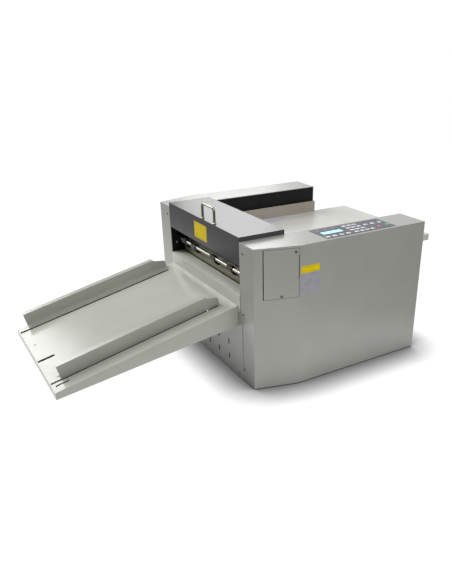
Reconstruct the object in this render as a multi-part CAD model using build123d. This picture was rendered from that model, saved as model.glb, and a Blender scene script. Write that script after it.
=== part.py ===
"""Desktop creasing and perforating machine, in millimetres, +Z up.

Sheets run along -X: from the feed table at +X, under the hinged cover, to the sloping delivery tray.
Y = 0 is the inner face of the near side frame and Y = inner_width that of the far one. The finished
pieces are moved together at the end, so that the origin is the centre of the base of the whole object.
"""
from build123d import *
from math import atan2, ceil, cos, degrees, hypot, pi, radians, sin, tan
import os

# Main sizes
inner_width = 440.0
housing_length = 549.0
housing_top = 399.0
end_face_width = 70.0
front_width = 104.0
kink_x = 120.0
foot_height = 3.0
housing_wall = 2.0
frame_thickness = 5.0
panel_sheet = 1.5
seat_gap = 0.3
cut_overrun = 1.0
running_clearance = 0.05

# Base, feet and rear panel
base_thickness = 2.0
foot_radius = 15.0
foot_stud_radius = 4.0
foot_inset_x = 45.0
foot_inset_y = 45.0
rear_panel_top = 290.0

# Delivery shelf and end panel
shelf_top = 253.5
shelf_depth = 39.5
shelf_front_bottom = 205.0
side_gap = 0.5
end_panel_overlap = 10.0
vent_columns = 6
vent_rows = 3
vent_pitch_y = 60.0
vent_pitch_z = 45.0
vent_width = 7.0
vent_height = 16.0
vent_first_z = 46.0

# Panel screws
screw_head_radius = 3.6
screw_head_height = 1.8
screw_shank_radius = 1.9
screw_hole_radius = 2.0
screw_length = 6.0
housing_screw_y = 18.0
housing_screw_low_z = 39.0
housing_screw_pitch = 167.0
panel_screw_z = 18.0
panel_screw_y = 8.0
frame_screw_x = 18.7
frame_screw_z = 283.0

# Service door on the slanted facet, measured along the facet from the end face
door_start = 27.0
door_end = 121.5
door_bottom = 261.0
door_top = 392.5
door_thickness = 2.0
door_gap = 1.0
door_hinge_gap = 2.5
door_notch_depth = 4.0
door_notch_bottom = 311.0
door_notch_top = 374.0
door_pin_radius = 1.5
door_knuckle_radius = 2.6
door_knuckle_length = 26.0
door_pin_from_edge = 3.2
door_pin_depth = 4.9
door_lug_size = 7.0
door_lug_height = 3.5
door_screw_radius = 3.8
door_screw_height = 1.2
door_screw_low_along = 75.0
door_screw_low_z = 266.0
door_screw_high_along = 112.0
door_screw_high_z = 383.0

# Top cover
cover_length = 138.5
cover_top = 411.5
cover_sheet = 2.0
cover_skirt_bottom = 335.5
cover_side_gap = 0.8
cover_side_bottom = 381.0
cover_rear_bottom = 396.0
cover_pin_x = 128.0
cover_pin_z = 389.0
cover_pin_radius = 3.0
cover_pin_reach = 6.0
handle_middle_offset = 37.25
handle_span = 71.5
handle_x = 7.0
handle_rise = 46.0
handle_rod_radius = 3.6
handle_corner_radius = 10.0
handle_foot_radius = 6.0
handle_foot_height = 2.0
label_thickness = 0.3
cover_label_middle_offset = 4.0
cover_label_width = 78.0
cover_label_bottom = 349.0
cover_label_top = 395.0

# Labels on the near housing and on the table
side_label_start = 122.5
side_label_end = 181.0
side_label_bottom = 261.0
side_label_top = 342.0
table_label_start = 326.0
table_label_end = 400.0
table_label_far_gap = 16.0
table_label_width = 42.0

# Control panel on the near housing
panel_start = 210.0
panel_end = 447.0
panel_near_y = 94.0
panel_far_y = 9.0
panel_thickness = 0.8
display_start = 223.0
display_end = 290.0
display_near_y = 60.5
display_far_y = 41.0
key_length = 13.0
key_depth = 9.0
key_height = 0.7
key_corner = 1.5
menu_key_x = 221.0
menu_key_pitch = 22.7
number_key_x = 318.0
number_key_pitch_x = 18.6
number_key_pitch_y = 19.3
front_key_y = 81.5
function_key_x = 381.0
function_key_pitch = 25.0
function_key_y = 41.0
stop_key_x = 401.0
stop_key_y = 74.0
start_key_x = 435.0
start_key_y = 70.0
module_margin = 6.0
module_depth = 7.0
board_thickness = 2.0

# Feed table, its rails, extension, fence and guard
table_top = 314.0
table_sheet = 2.0
table_start = 141.5
table_end = 550.0
table_front_lip = 12.0
table_rear_lip = 16.0
rail_leg = 20.0
rail_sheet = 2.0
rail_start = 160.0
rail_end = 540.0
rail_screw_margin = 30.0
extension_start = 551.0
extension_end = 688.0
extension_side_gap = 5.0
extension_lip = 20.0
extension_side_start = 562.0
extension_side_full = 605.0
extension_side_low_lip = 7.0
hinge_pin_x = 554.6
hinge_pin_z = 303.5
hinge_pin_radius = 2.0
hinge_barrel_radius = 3.8
hinge_lug_width = 8.0
hinge_lug_gap = 0.4
hinge_lug_reach = 12.0
hinge_first_y = 60.0
fence_start = 146.0
fence_end = 548.5
fence_far_gap = 11.5
fence_sheet = 1.5
fence_height = 36.0
fence_foot = 9.0
fence_hem = 3.5
fence_lift = 0.5
guard_x = 142.0
guard_sheet = 1.5
guard_bottom = 320.5
guard_top = 366.0

# Roller pairs, gears and their drive
feed_x = 131.0
feed_z = 304.5
feed_roller_radius = 9.5
exit_x = 94.0
exit_z = 302.0
exit_roller_radius = 10.0
exit_wheel_radius = 11.0
roller_core_radius = 5.0
nip_gap = 0.5
roller_length = 24.0
wheel_length = 14.0
roller_end_margin = 60.0
exit_roller_count = 5
feed_roller_count = 3
perforating_wheel_radius = 12.4
perforating_wheel_thickness = 1.2
perforating_wheel_margin = 100.0
perforating_hub_radius = 8.0
perforating_hub_length = 10.0
bush_wall = 3.0
bush_flange = 1.2
bush_flange_rim = 1.5
shaft_end_reach = 1.0
gear_module = 1.5
gear_teeth = 16
pinion_teeth = 12
gear_width = 8.0
gear_clearance = 0.5
gear_side_gap = 0.6
motor_half_size = 20.5
motor_length = 46.0
motor_corner = 4.0
motor_boss_radius = 11.0
pinion_shaft_radius = 2.5
pinion_shaft_depth = 14.0

# Creasing unit
crease_x = 113.0
anvil_width = 14.0
anvil_bottom = 290.0
anvil_top = 312.5
anvil_groove_width = 2.6
anvil_groove_depth = 3.0
beam_width = 12.0
beam_bottom = 318.5
beam_top = 342.0
beam_end_margin = 10.0
blade_thickness = 1.4
blade_tip = 317.0
blade_depth = 8.0
blade_end_margin = 32.0
guide_pin_radius = 4.0
guide_pin_y = 20.0
guide_pin_top = 352.0
yoke_y = 44.0
yoke_thickness = 8.0
yoke_wall = 4.6
cam_shaft_z = 362.0
cam_shaft_radius = 6.0
cam_disc_radius = 10.0
cam_throw = 3.0
cam_clearance = 0.5
crease_stroke = 5.5
crease_motor_radius = 24.0
crease_motor_length = 70.0
crease_motor_bore_depth = 12.0

# Delivery chute, finger shaft, holders and fingers
chute_radius = 38.0
chute_x = 83.0
chute_z = 262.0
chute_sheet = 1.5
finger_shaft_x = 30.0
finger_shaft_z = 294.5
finger_shaft_radius = 5.5
holder_width = 20.0
holder_block = 14.0
holder_height = 14.0
finger_width = 9.0
finger_hub_radius = 8.0
finger_heel_x = 35.5
finger_heel_z = 279.0
finger_heel_radius = 3.2
finger_tip_x = 44.5
finger_tip_z = 277.5
finger_tip_radius = 2.2
finger_place_shares = (0.209, 0.443, 0.730, 0.884)

# Delivery tray and its two guides
tray_angle = 12.8
tray_length = 507.0
tray_top_z = 221.5
tray_side_gap = 10.0
tray_sheet = 2.0
tray_deep_end = 58.0
tray_shallow_end = 18.5
tray_slot_start = 36.0
tray_far_slot_margin = 46.0
tray_far_slot_width = 10.5
tray_near_slot_y = 57.5
tray_near_slot_width = 8.0
tray_short_slot_y = 39.0
tray_short_slot_margin = 9.0
tray_short_slot_length = 34.0
tray_short_slot_width = 7.0
tray_middle_slot_offset = 30.0
tray_middle_slot_width = 10.5
tray_middle_slot_length = 44.0
tray_hook_y = 60.0
tray_hook_width = 14.0
tray_hook_height = 6.0
tray_hook_reach = 8.0
tray_hook_lip = 6.0
tray_hook_drop = 14.0
tray_dot_radius = 2.5
tray_bottom_drop = 14.0
tray_bottom_sheet = 1.2
tray_bottom_start = 7.0
tray_bottom_end_gap = 0.5
near_dot_along = 481.0
near_dot_y = 76.0
far_dot_along = 489.0
far_dot_margin = 152.0
guide_start = 29.0
guide_end = 478.0
guide_height = 35.0
guide_sheet = 1.5
guide_step_along = 62.0
guide_step_drop = 4.0
guide_tail_height = 20.5
guide_tail_corner = 3.0
guide_foot = 20.0
guide_hem = 17.5
near_guide_y = 62.0
far_guide_margin = 16.0
guide_lift = 0.3

# Electrical pieces
supply_start = 300.0
supply_length = 160.0
supply_width = 75.0
supply_height = 60.0
supply_y_gap = 12.0
inlet_y = 60.0
inlet_z = 62.0
inlet_flange_width = 48.0
inlet_flange_height = 28.0
inlet_flange = 2.5
inlet_body_width = 27.0
inlet_body_height = 20.0
inlet_body_depth = 22.0
inlet_cavity_width = 24.0
inlet_cavity_height = 16.5
inlet_cavity_depth = 17.0
inlet_blade_length = 8.0
inlet_blade_width = 2.0
inlet_blade_height = 4.0
inlet_blade_spread = 7.0
inlet_earth_drop = 2.0
inlet_line_rise = 2.5
switch_y = 125.0
switch_z = 62.0
switch_width = 27.0
switch_height = 20.0
switch_depth = 16.0
rocker_width = 22.0
rocker_height = 14.0
rocker_rise = 3.0
rocker_pin_radius = 1.5
rocker_pin_reach = 1.5
rocker_depth = 9.0
rocker_gap = 0.4
rocker_recess = 11.5


# Helpers
def block(x0, x1, y0, y1, z0, z1):
    """Box between two corners."""
    middle = Pos((x0 + x1) / 2, (y0 + y1) / 2, (z0 + z1) / 2)
    return middle * Box(x1 - x0, y1 - y0, z1 - z0)


def rod_y(x, z, radius, y0, y1):
    """Cylinder along Y."""
    return Pos(x, (y0 + y1) / 2, z) * Rot(90, 0, 0) * Cylinder(radius, y1 - y0)


def rod_x(y, z, radius, x0, x1):
    """Cylinder along X."""
    return Pos((x0 + x1) / 2, y, z) * Rot(0, 90, 0) * Cylinder(radius, x1 - x0)


def rod_z(x, y, radius, z0, z1):
    """Cylinder along Z."""
    return Pos(x, y, (z0 + z1) / 2) * Cylinder(radius, z1 - z0)


def prism_y(points, y0, y1):
    """Outline in X and Z, drawn out along Y."""
    outline = Polyline(*[(x, y0, z) for x, z in points], close=True)
    return extrude(make_face(outline), amount=y1 - y0, dir=(0, 1, 0))


def prism_z(points, z0, z1):
    """Outline in X and Y, drawn out along Z."""
    outline = Polyline(*[(x, y, z0) for x, y in points], close=True)
    return extrude(make_face(outline), amount=z1 - z0, dir=(0, 0, 1))


def mirrored(shape):
    """Same piece on the far side."""
    plane = Plane(origin=(0, inner_width / 2, 0), z_dir=(0, 1, 0))
    return mirror(shape, about=plane)


def group(shapes):
    """Separate solids kept in one node."""
    solids = []
    for shape in shapes:
        solids.extend(shape.solids())
    return Compound(children=solids)


# Base and frames
def body_plan(inset):
    """Plan outline of both housings and the space between them, drawn in by an inset."""
    run = hypot(kink_x, front_width - end_face_width)
    slope = (front_width - end_face_width) / kink_x
    near_start = -end_face_width + inset * run / kink_x - inset * slope
    near_kink_x = kink_x + inset * (run - kink_x) / (front_width - end_face_width)
    near = [(inset, near_start), (near_kink_x, -front_width + inset),
            (housing_length - inset, -front_width + inset)]
    far = [(x, inner_width - y) for x, y in reversed(near)]
    return near + far


inside = housing_wall + seat_gap
base_top = foot_height + base_thickness
base_plate = prism_z(body_plan(inside), foot_height, base_top)

foot_places = [(x, y) for x in (foot_inset_x, housing_length - foot_inset_x)
               for y in (-end_face_width + foot_inset_y, inner_width + end_face_width - foot_inset_y)]
foot_pieces = []
for foot_x, foot_y in foot_places:
    stud = rod_z(foot_x, foot_y, foot_stud_radius, foot_height, base_top)
    base_plate -= rod_z(foot_x, foot_y, foot_stud_radius, foot_height, base_top)
    foot_pieces.append(rod_z(foot_x, foot_y, foot_radius, 0, foot_height) + stud)
rubber_feet = group(foot_pieces)

# Gear train places: the idler sits under the feed and exit gears, the pinion under the idler
gear_radius = gear_module * gear_teeth / 2
pinion_radius = gear_module * pinion_teeth / 2
gear_reach = 2 * gear_radius
train_half = hypot(feed_x - exit_x, feed_z - exit_z) / 2
train_tilt = atan2(feed_z - exit_z, feed_x - exit_x)
train_drop = (gear_reach ** 2 - train_half ** 2) ** 0.5
idler_x = (feed_x + exit_x) / 2 + train_drop * sin(train_tilt)
idler_z = (feed_z + exit_z) / 2 - train_drop * cos(train_tilt)
pinion_x = idler_x
pinion_z = idler_z - gear_radius - pinion_radius
feed_wheel_z = feed_z + 2 * feed_roller_radius + nip_gap
perforating_z = exit_z + exit_roller_radius + exit_wheel_radius + nip_gap
idler_pin_radius = roller_core_radius / 2
idler_bush_radius = idler_pin_radius + running_clearance

frame_end = housing_length - inside
frame_low = base_top
frame_high = housing_top - inside
gear_near_y = -frame_thickness - bush_flange - gear_side_gap - gear_width
gear_far_y = gear_near_y + gear_width

shaft_places = [(feed_x, feed_z, roller_core_radius), (exit_x, exit_z, roller_core_radius),
                (feed_x, feed_wheel_z, roller_core_radius), (exit_x, perforating_z, roller_core_radius),
                (crease_x, cam_shaft_z, cam_shaft_radius)]


def side_frame():
    """Near side frame: a plate with bush holes, pin holes and screw holes."""
    plate = block(inside, frame_end, -frame_thickness, 0, frame_low, frame_high)
    for x, z, radius in shaft_places:
        hole = radius + running_clearance + bush_wall
        plate -= rod_y(x, z, hole, -frame_thickness - cut_overrun, cut_overrun)
    for x, z, radius in ((cover_pin_x, cover_pin_z, cover_pin_radius),
                         (finger_shaft_x, finger_shaft_z, finger_shaft_radius),
                         (frame_screw_x, frame_screw_z, screw_hole_radius)):
        plate -= rod_y(x, z, radius, -frame_thickness - cut_overrun, cut_overrun)
    return plate


near_side_frame = side_frame()
far_side_frame = mirrored(side_frame())
pinion_hole = pinion_shaft_radius + 2 * gear_clearance
near_side_frame -= rod_y(pinion_x, pinion_z, pinion_hole, -frame_thickness - cut_overrun, cut_overrun)
near_side_frame += rod_y(idler_x, idler_z, idler_pin_radius, gear_near_y - shaft_end_reach, 0)


# Housings
facet_run = hypot(kink_x, front_width - end_face_width)
facet_angle = degrees(atan2(-(front_width - end_face_width), kink_x))


def on_facet(along, depth, z):
    """Point on the near facet: along it from the end face, and depth inwards from its surface."""
    turn = radians(facet_angle)
    x = along * cos(turn) - depth * sin(turn)
    y = -end_face_width + along * sin(turn) + depth * cos(turn)
    return (x, y, z)


def facet_block(along0, along1, depth0, depth1, z0, z1):
    """Box laid along the facet."""
    corners = [on_facet(along0, depth0, z0), on_facet(along1, depth0, z0),
               on_facet(along1, depth1, z0), on_facet(along0, depth1, z0)]
    return prism_z([(x, y) for x, y, _ in corners], z0, z1)


def facet_rod(along, depth, radius, z0, z1):
    """Upright cylinder at a place on the facet."""
    x, y, _ = on_facet(along, depth, z0)
    return rod_z(x, y, radius, z0, z1)


def housing_shell():
    """Near housing: a shell open underneath and towards the side frame."""
    run = hypot(kink_x, front_width - end_face_width)
    outer = [(0, 0), (0, -end_face_width), (kink_x, -front_width), (housing_length, -front_width),
             (housing_length, 0)]
    slope = (front_width - end_face_width) / kink_x
    inner_start = -end_face_width + housing_wall * run / kink_x - housing_wall * slope
    inner_kink = kink_x + housing_wall * (run - kink_x) / (front_width - end_face_width)
    inner = [(housing_wall, cut_overrun), (housing_wall, inner_start),
             (inner_kink, -front_width + housing_wall),
             (housing_length - housing_wall, -front_width + housing_wall),
             (housing_length - housing_wall, cut_overrun)]
    shell = prism_z(outer, foot_height, housing_top)
    shell -= prism_z(inner, foot_height - cut_overrun, housing_top - housing_wall)
    for level in range(3):
        z = housing_screw_low_z + level * housing_screw_pitch
        shell -= rod_x(-housing_screw_y, z, screw_hole_radius, -cut_overrun, housing_wall + cut_overrun)
    return shell


door_pin_along = door_start + door_pin_from_edge
near_housing = housing_shell()
near_housing -= facet_block(door_start - door_hinge_gap, door_end + door_gap, -cut_overrun,
                            housing_wall + cut_overrun, door_bottom - door_gap, door_top + door_gap)
lug_start = door_pin_along - door_lug_size / 2
for lug_bottom in (door_bottom - door_gap - seat_gap - door_lug_height,
                   housing_top - housing_wall - door_lug_height + seat_gap):
    near_housing += facet_block(lug_start, lug_start + door_lug_size, housing_wall - seat_gap,
                                door_pin_depth + door_lug_size / 2, lug_bottom,
                                lug_bottom + door_lug_height)
pin_low = door_bottom - door_gap - seat_gap - door_lug_height
near_housing -= facet_rod(door_pin_along, door_pin_depth, door_pin_radius, pin_low - cut_overrun,
                          housing_top - housing_wall)
near_housing -= block(display_start, display_end, -display_near_y, -display_far_y,
                      housing_top - housing_wall - cut_overrun, housing_top + cut_overrun)

far_housing = mirrored(housing_shell())

# Delivery end: end panel, shelf and rear panel
end_panel = block(-panel_sheet, 0, -end_panel_overlap, inner_width + end_panel_overlap,
                  foot_height, shelf_front_bottom - seat_gap)
vent_first_y = inner_width / 2 - vent_pitch_y * (vent_columns - 1) / 2
for column in range(vent_columns):
    for row in range(vent_rows):
        vent_y = vent_first_y + column * vent_pitch_y
        vent_z = vent_first_z + row * vent_pitch_z
        end_panel -= block(-panel_sheet - cut_overrun, cut_overrun, vent_y - vent_width / 2,
                           vent_y + vent_width / 2, vent_z - vent_height / 2, vent_z + vent_height / 2)
panel_screw_ys = (panel_screw_y, inner_width / 2, inner_width - panel_screw_y)
for screw_y in panel_screw_ys:
    end_panel -= rod_x(screw_y, panel_screw_z, screw_hole_radius, -panel_sheet - cut_overrun,
                       cut_overrun)

shelf_near_y = side_gap
shelf_far_y = inner_width - side_gap
delivery_shelf = block(-panel_sheet, shelf_depth, shelf_near_y, shelf_far_y, shelf_top - panel_sheet,
                       shelf_top)
delivery_shelf += block(-panel_sheet, 0, shelf_near_y, shelf_far_y, shelf_front_bottom,
                        shelf_top - panel_sheet)
tray_near_y = tray_side_gap
tray_far_y = inner_width - tray_side_gap
hook_ys = (tray_near_y + tray_hook_y, tray_far_y - tray_hook_y)
hook_bottom = tray_top_z - tray_hook_drop
for hook_y in hook_ys:
    delivery_shelf -= block(-panel_sheet - cut_overrun, cut_overrun,
                            hook_y - tray_hook_width / 2 - seat_gap,
                            hook_y + tray_hook_width / 2 + seat_gap,
                            hook_bottom - seat_gap, hook_bottom + tray_hook_height + tray_hook_lip)

rear_panel = block(housing_length - housing_wall, housing_length, seat_gap, inner_width - seat_gap,
                   base_top, rear_panel_top)
rear_panel -= block(housing_length - housing_wall - cut_overrun, housing_length + cut_overrun,
                    inlet_y - inlet_body_width / 2, inlet_y + inlet_body_width / 2,
                    inlet_z - inlet_body_height / 2, inlet_z + inlet_body_height / 2)
rear_panel -= block(housing_length - housing_wall - cut_overrun, housing_length + cut_overrun,
                    switch_y - rocker_width / 2 - rocker_gap, switch_y + rocker_width / 2 + rocker_gap,
                    switch_z - rocker_height / 2 - rocker_gap,
                    switch_z + rocker_height / 2 + rocker_gap)


def screw_x(face_x, y, z):
    """Pan-head screw driven along +X from a face."""
    head = rod_x(y, z, screw_head_radius, face_x - screw_head_height, face_x)
    return head + rod_x(y, z, screw_shank_radius, face_x, face_x + screw_length)


def screw_y_out(x, face_y, z, away):
    """Pan-head screw driven along Y from a face; away is the side its head is on."""
    head_end = face_y + away * screw_head_height
    shank_end = face_y - away * screw_length
    head = rod_y(x, z, screw_head_radius, min(face_y, head_end), max(face_y, head_end))
    return head + rod_y(x, z, screw_shank_radius, min(face_y, shank_end), max(face_y, shank_end))


screws = []
for level in range(3):
    screw_z = housing_screw_low_z + level * housing_screw_pitch
    for screw_y in (-housing_screw_y, inner_width + housing_screw_y):
        screws.append(screw_x(0, screw_y, screw_z))
for screw_y in panel_screw_ys:
    screws.append(screw_x(-panel_sheet, screw_y, panel_screw_z))
screws.append(screw_y_out(frame_screw_x, 0, frame_screw_z, 1))
screws.append(screw_y_out(frame_screw_x, inner_width, frame_screw_z, -1))
panel_screws = group(screws)

# Service door
service_door = facet_block(door_start, door_end, 0, door_thickness, door_bottom, door_top)
service_door -= facet_block(door_end - door_notch_depth, door_end + cut_overrun, -cut_overrun,
                            door_thickness + cut_overrun, door_notch_bottom, door_notch_top)
knuckle_bottoms = (door_bottom + seat_gap, door_top - door_knuckle_length - seat_gap)
for knuckle_bottom in knuckle_bottoms:
    knuckle_top = knuckle_bottom + door_knuckle_length
    service_door += facet_rod(door_pin_along, door_pin_depth, door_knuckle_radius, knuckle_bottom,
                              knuckle_top)
    service_door += facet_block(door_pin_along - door_pin_radius, door_pin_along + door_pin_radius,
                                door_thickness - seat_gap, door_pin_depth, knuckle_bottom, knuckle_top)
service_door -= facet_rod(door_pin_along, door_pin_depth, door_pin_radius + running_clearance,
                          door_bottom - cut_overrun, door_top + cut_overrun)


def facet_bolt(along, z, radius, depth0, depth1):
    """Cylinder square to the facet, between two depths behind its surface."""
    x, y, _ = on_facet(along, (depth0 + depth1) / 2, z)
    return Pos(x, y, z) * Rot(0, 0, facet_angle) * Rot(90, 0, 0) * Cylinder(radius, depth1 - depth0)


door_bolts = []
for bolt_along, bolt_z in ((door_screw_low_along, door_screw_low_z),
                           (door_screw_high_along, door_screw_high_z)):
    service_door -= facet_bolt(bolt_along, bolt_z, screw_hole_radius, -cut_overrun,
                               door_thickness + cut_overrun)
    door_bolts.append(facet_bolt(bolt_along, bolt_z, door_screw_radius, -door_screw_height, 0)
                      + facet_bolt(bolt_along, bolt_z, screw_shank_radius, 0, screw_length))
door_screws = group(door_bolts)

# Top cover with its handle and label
cover_near_y = cover_side_gap
cover_far_y = inner_width - cover_side_gap
under_cover = cover_top - cover_sheet
top_cover = block(0, cover_length, cover_near_y, cover_far_y, under_cover, cover_top)
top_cover += block(0, cover_sheet, cover_near_y, cover_far_y, cover_skirt_bottom, under_cover)
top_cover += block(cover_length - cover_sheet, cover_length, cover_near_y, cover_far_y,
                   cover_rear_bottom, under_cover)
for skirt_y in (cover_near_y, cover_far_y - cover_sheet):
    top_cover += block(cover_sheet, cover_length - cover_sheet, skirt_y, skirt_y + cover_sheet,
                       cover_side_bottom, under_cover)
top_cover -= rod_y(cover_pin_x, cover_pin_z, cover_pin_radius + running_clearance,
                   cover_near_y - cut_overrun, cover_far_y + cut_overrun)

handle_middle_y = inner_width / 2 - handle_middle_offset
handle_near_y = handle_middle_y - handle_span / 2
handle_far_y = handle_middle_y + handle_span / 2
handle_top = cover_top + handle_rise - handle_rod_radius
handle_path = FilletPolyline((handle_x, handle_near_y, cover_top), (handle_x, handle_near_y, handle_top),
                             (handle_x, handle_far_y, handle_top), (handle_x, handle_far_y, cover_top),
                             radius=handle_corner_radius)
handle_section = Plane(origin=(handle_x, handle_near_y, cover_top), z_dir=(0, 0, 1)) * Circle(
    handle_rod_radius)
cover_handle = sweep(handle_section, path=handle_path)
for leg_y in (handle_near_y, handle_far_y):
    cover_handle += rod_z(handle_x, leg_y, handle_foot_radius, cover_top, cover_top + handle_foot_height)

cover_label_middle_y = inner_width / 2 + cover_label_middle_offset
cover_label_near_y = cover_label_middle_y - cover_label_width / 2
cover_label_far_y = cover_label_middle_y + cover_label_width / 2
cover_label = block(-label_thickness, 0, cover_label_near_y, cover_label_far_y, cover_label_bottom,
                    cover_label_top)
side_label = block(side_label_start, side_label_end, -front_width - label_thickness, -front_width,
                   side_label_bottom, side_label_top)

# Hinge pins of the door, the cover and the table extension
door_hinge_pin = facet_rod(door_pin_along, door_pin_depth, door_pin_radius, pin_low,
                           housing_top - housing_wall)
cover_pins = [rod_y(cover_pin_x, cover_pin_z, cover_pin_radius, -frame_thickness, cover_pin_reach),
              rod_y(cover_pin_x, cover_pin_z, cover_pin_radius, inner_width - cover_pin_reach,
                    inner_width + frame_thickness)]
lug_ys = [hinge_first_y, inner_width - hinge_first_y]
lug_span = hinge_lug_width + hinge_lug_gap
extension_pins = [rod_y(hinge_pin_x, hinge_pin_z, hinge_pin_radius, lug_y - lug_span,
                        lug_y + lug_span) for lug_y in lug_ys]
hinge_pins = group([door_hinge_pin] + cover_pins + extension_pins)

# Control panel
panel_low = housing_top
panel_high = panel_low + panel_thickness
control_overlay = block(panel_start, panel_end, -panel_near_y, -panel_far_y, panel_low, panel_high)
control_overlay -= block(display_start, display_end, -display_near_y, -display_far_y,
                         panel_low - cut_overrun, panel_high + cut_overrun)
display_window = block(display_start, display_end, -display_near_y, -display_far_y,
                       housing_top - housing_wall, panel_high)
module_low = housing_top - housing_wall - module_depth
control_board = block(display_start - module_margin, display_end + module_margin,
                      -display_near_y - module_margin, -display_far_y + module_margin, module_low,
                      housing_top - housing_wall)
control_board += block(panel_start, panel_end, -panel_near_y, -panel_far_y,
                       module_low - board_thickness, module_low)


def key(x, y):
    """Raised key of the foil, with rounded corners."""
    outline = Pos(x, -y, panel_high) * RectangleRounded(key_length, key_depth, key_corner)
    return extrude(outline, amount=key_height)


def key_places():
    """Centres of the plain keys: four under the display, the number block, and three functions."""
    places = [(menu_key_x + i * menu_key_pitch, front_key_y) for i in range(4)]
    for row in range(4):
        for column in range(3):
            places.append((number_key_x + column * number_key_pitch_x,
                           front_key_y - row * number_key_pitch_y))
    places.append((number_key_x + 3 * number_key_pitch_x, front_key_y))
    places.extend((function_key_x + i * function_key_pitch, function_key_y) for i in range(3))
    return places


keypad_keys = group([key(x, y) for x, y in key_places()])
stop_key = key(stop_key_x, stop_key_y)
start_key = key(start_key_x, start_key_y)

# Feed table, rails, extension, fence, label and guard
table_near_y = side_gap
table_far_y = inner_width - side_gap
table_under = table_top - table_sheet
feed_table = block(table_start, table_end, table_near_y, table_far_y, table_under, table_top)
feed_table += block(table_start, table_start + table_sheet, table_near_y, table_far_y,
                    table_under - table_front_lip, table_under)
feed_table += block(table_end - table_sheet, table_end, table_near_y, table_far_y,
                    table_under - table_rear_lip, table_under)


def barrel_lug(x0, x1, z0, z1, y0, y1):
    """Hinge barrel round the extension's pin, with its plate."""
    barrel = rod_y(hinge_pin_x, hinge_pin_z, hinge_barrel_radius, y0, y1)
    return barrel + block(x0, x1, y0, y1, z0, z1)


extension_near_y = extension_side_gap
extension_far_y = inner_width - extension_side_gap
extension_under = table_top - table_sheet
leaf_profile = [(extension_side_start, extension_under),
                (extension_side_start, extension_under - extension_side_low_lip),
                (extension_side_full, table_top - extension_lip),
                (extension_end, table_top - extension_lip), (extension_end, extension_under)]
table_extension = block(extension_start, extension_end, extension_near_y, extension_far_y,
                        extension_under, table_top)
for leaf_y in (extension_near_y, extension_far_y - table_sheet):
    table_extension += prism_y(leaf_profile, leaf_y, leaf_y + table_sheet)
table_extension += block(extension_end - table_sheet, extension_end, extension_near_y,
                         extension_far_y, table_top - extension_lip, extension_under)
for lug_y in lug_ys:
    feed_table += barrel_lug(table_end - table_sheet, hinge_pin_x, hinge_pin_z - hinge_barrel_radius,
                             hinge_pin_z, lug_y - lug_span, lug_y - hinge_lug_gap)
    feed_table -= rod_y(hinge_pin_x, hinge_pin_z, hinge_pin_radius, lug_y - lug_span - cut_overrun,
                        lug_y - hinge_lug_gap + cut_overrun)
    table_extension += barrel_lug(hinge_pin_x, hinge_pin_x + hinge_lug_reach, hinge_pin_z,
                                  extension_under, lug_y, lug_y + hinge_lug_width)
    table_extension -= rod_y(hinge_pin_x, hinge_pin_z, hinge_pin_radius + running_clearance,
                             lug_y - cut_overrun, lug_y + hinge_lug_width + cut_overrun)


def table_rail():
    """Angle under the table's near edge, standing against the side frame."""
    rail_top = table_under - seat_gap
    upright = block(rail_start, rail_end, 0, rail_sheet, rail_top - rail_leg, rail_top)
    flange = block(rail_start, rail_end, rail_sheet, rail_leg, rail_top - rail_sheet, rail_top)
    return upright + flange


table_rails = group([table_rail(), mirrored(table_rail())])

fence_face_y = inner_width - fence_far_gap
fence_low = table_top + fence_lift
feed_fence = block(fence_start, fence_end, fence_face_y, fence_face_y + fence_sheet, fence_low,
                   fence_low + fence_height)
feed_fence += block(fence_start, fence_end, fence_face_y + fence_sheet, fence_face_y + fence_foot,
                    fence_low, fence_low + fence_sheet)
feed_fence += block(fence_start, fence_end, fence_face_y + fence_sheet, fence_face_y + fence_hem,
                    fence_low + fence_height - fence_sheet, fence_low + fence_height)
table_label_far_y = inner_width - table_label_far_gap
table_label_near_y = table_label_far_y - table_label_width
table_label = block(table_label_start, table_label_end, table_label_near_y, table_label_far_y,
                    table_top, table_top + label_thickness)
feed_guard = block(guard_x, guard_x + guard_sheet, seat_gap, inner_width - seat_gap, guard_bottom,
                   guard_top)

# Shafts, rollers and wheels
bush_reach = frame_thickness + bush_flange
shaft_near_y = -bush_reach
shaft_far_y = inner_width + bush_reach


def ring_y(x, z, outer, inner, y0, y1):
    """Tube along Y."""
    tube = rod_y(x, z, outer, y0, y1)
    return tube - rod_y(x, z, inner, y0 - cut_overrun, y1 + cut_overrun)


def ring_row(x, z, outer, inner, length, places):
    """Row of equal rings on one shaft."""
    return group([ring_y(x, z, outer, inner, y - length / 2, y + length / 2) for y in places])


roller_run = inner_width - 2 * roller_end_margin
feed_ys = [roller_end_margin + i * roller_run / (feed_roller_count - 1)
           for i in range(feed_roller_count)]
exit_ys = [roller_end_margin + i * roller_run / (exit_roller_count - 1)
           for i in range(exit_roller_count)]
gear_end_y = gear_near_y - shaft_end_reach
feed_shaft = rod_y(feed_x, feed_z, roller_core_radius, gear_end_y, shaft_far_y)
exit_shaft = rod_y(exit_x, exit_z, roller_core_radius, gear_end_y, shaft_far_y)
feed_rollers = ring_row(feed_x, feed_z, feed_roller_radius, roller_core_radius, roller_length, feed_ys)
exit_rollers = ring_row(exit_x, exit_z, exit_roller_radius, roller_core_radius, roller_length, exit_ys)
feed_pressure_shaft = rod_y(feed_x, feed_wheel_z, roller_core_radius, shaft_near_y, shaft_far_y)
feed_pressure_wheels = ring_row(feed_x, feed_wheel_z, feed_roller_radius, roller_core_radius,
                                wheel_length, feed_ys)
perforating_shaft = rod_y(exit_x, perforating_z, roller_core_radius, shaft_near_y, shaft_far_y)
exit_pressure_wheels = ring_row(exit_x, perforating_z, exit_wheel_radius, roller_core_radius,
                                wheel_length, exit_ys)
cutters = []
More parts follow.
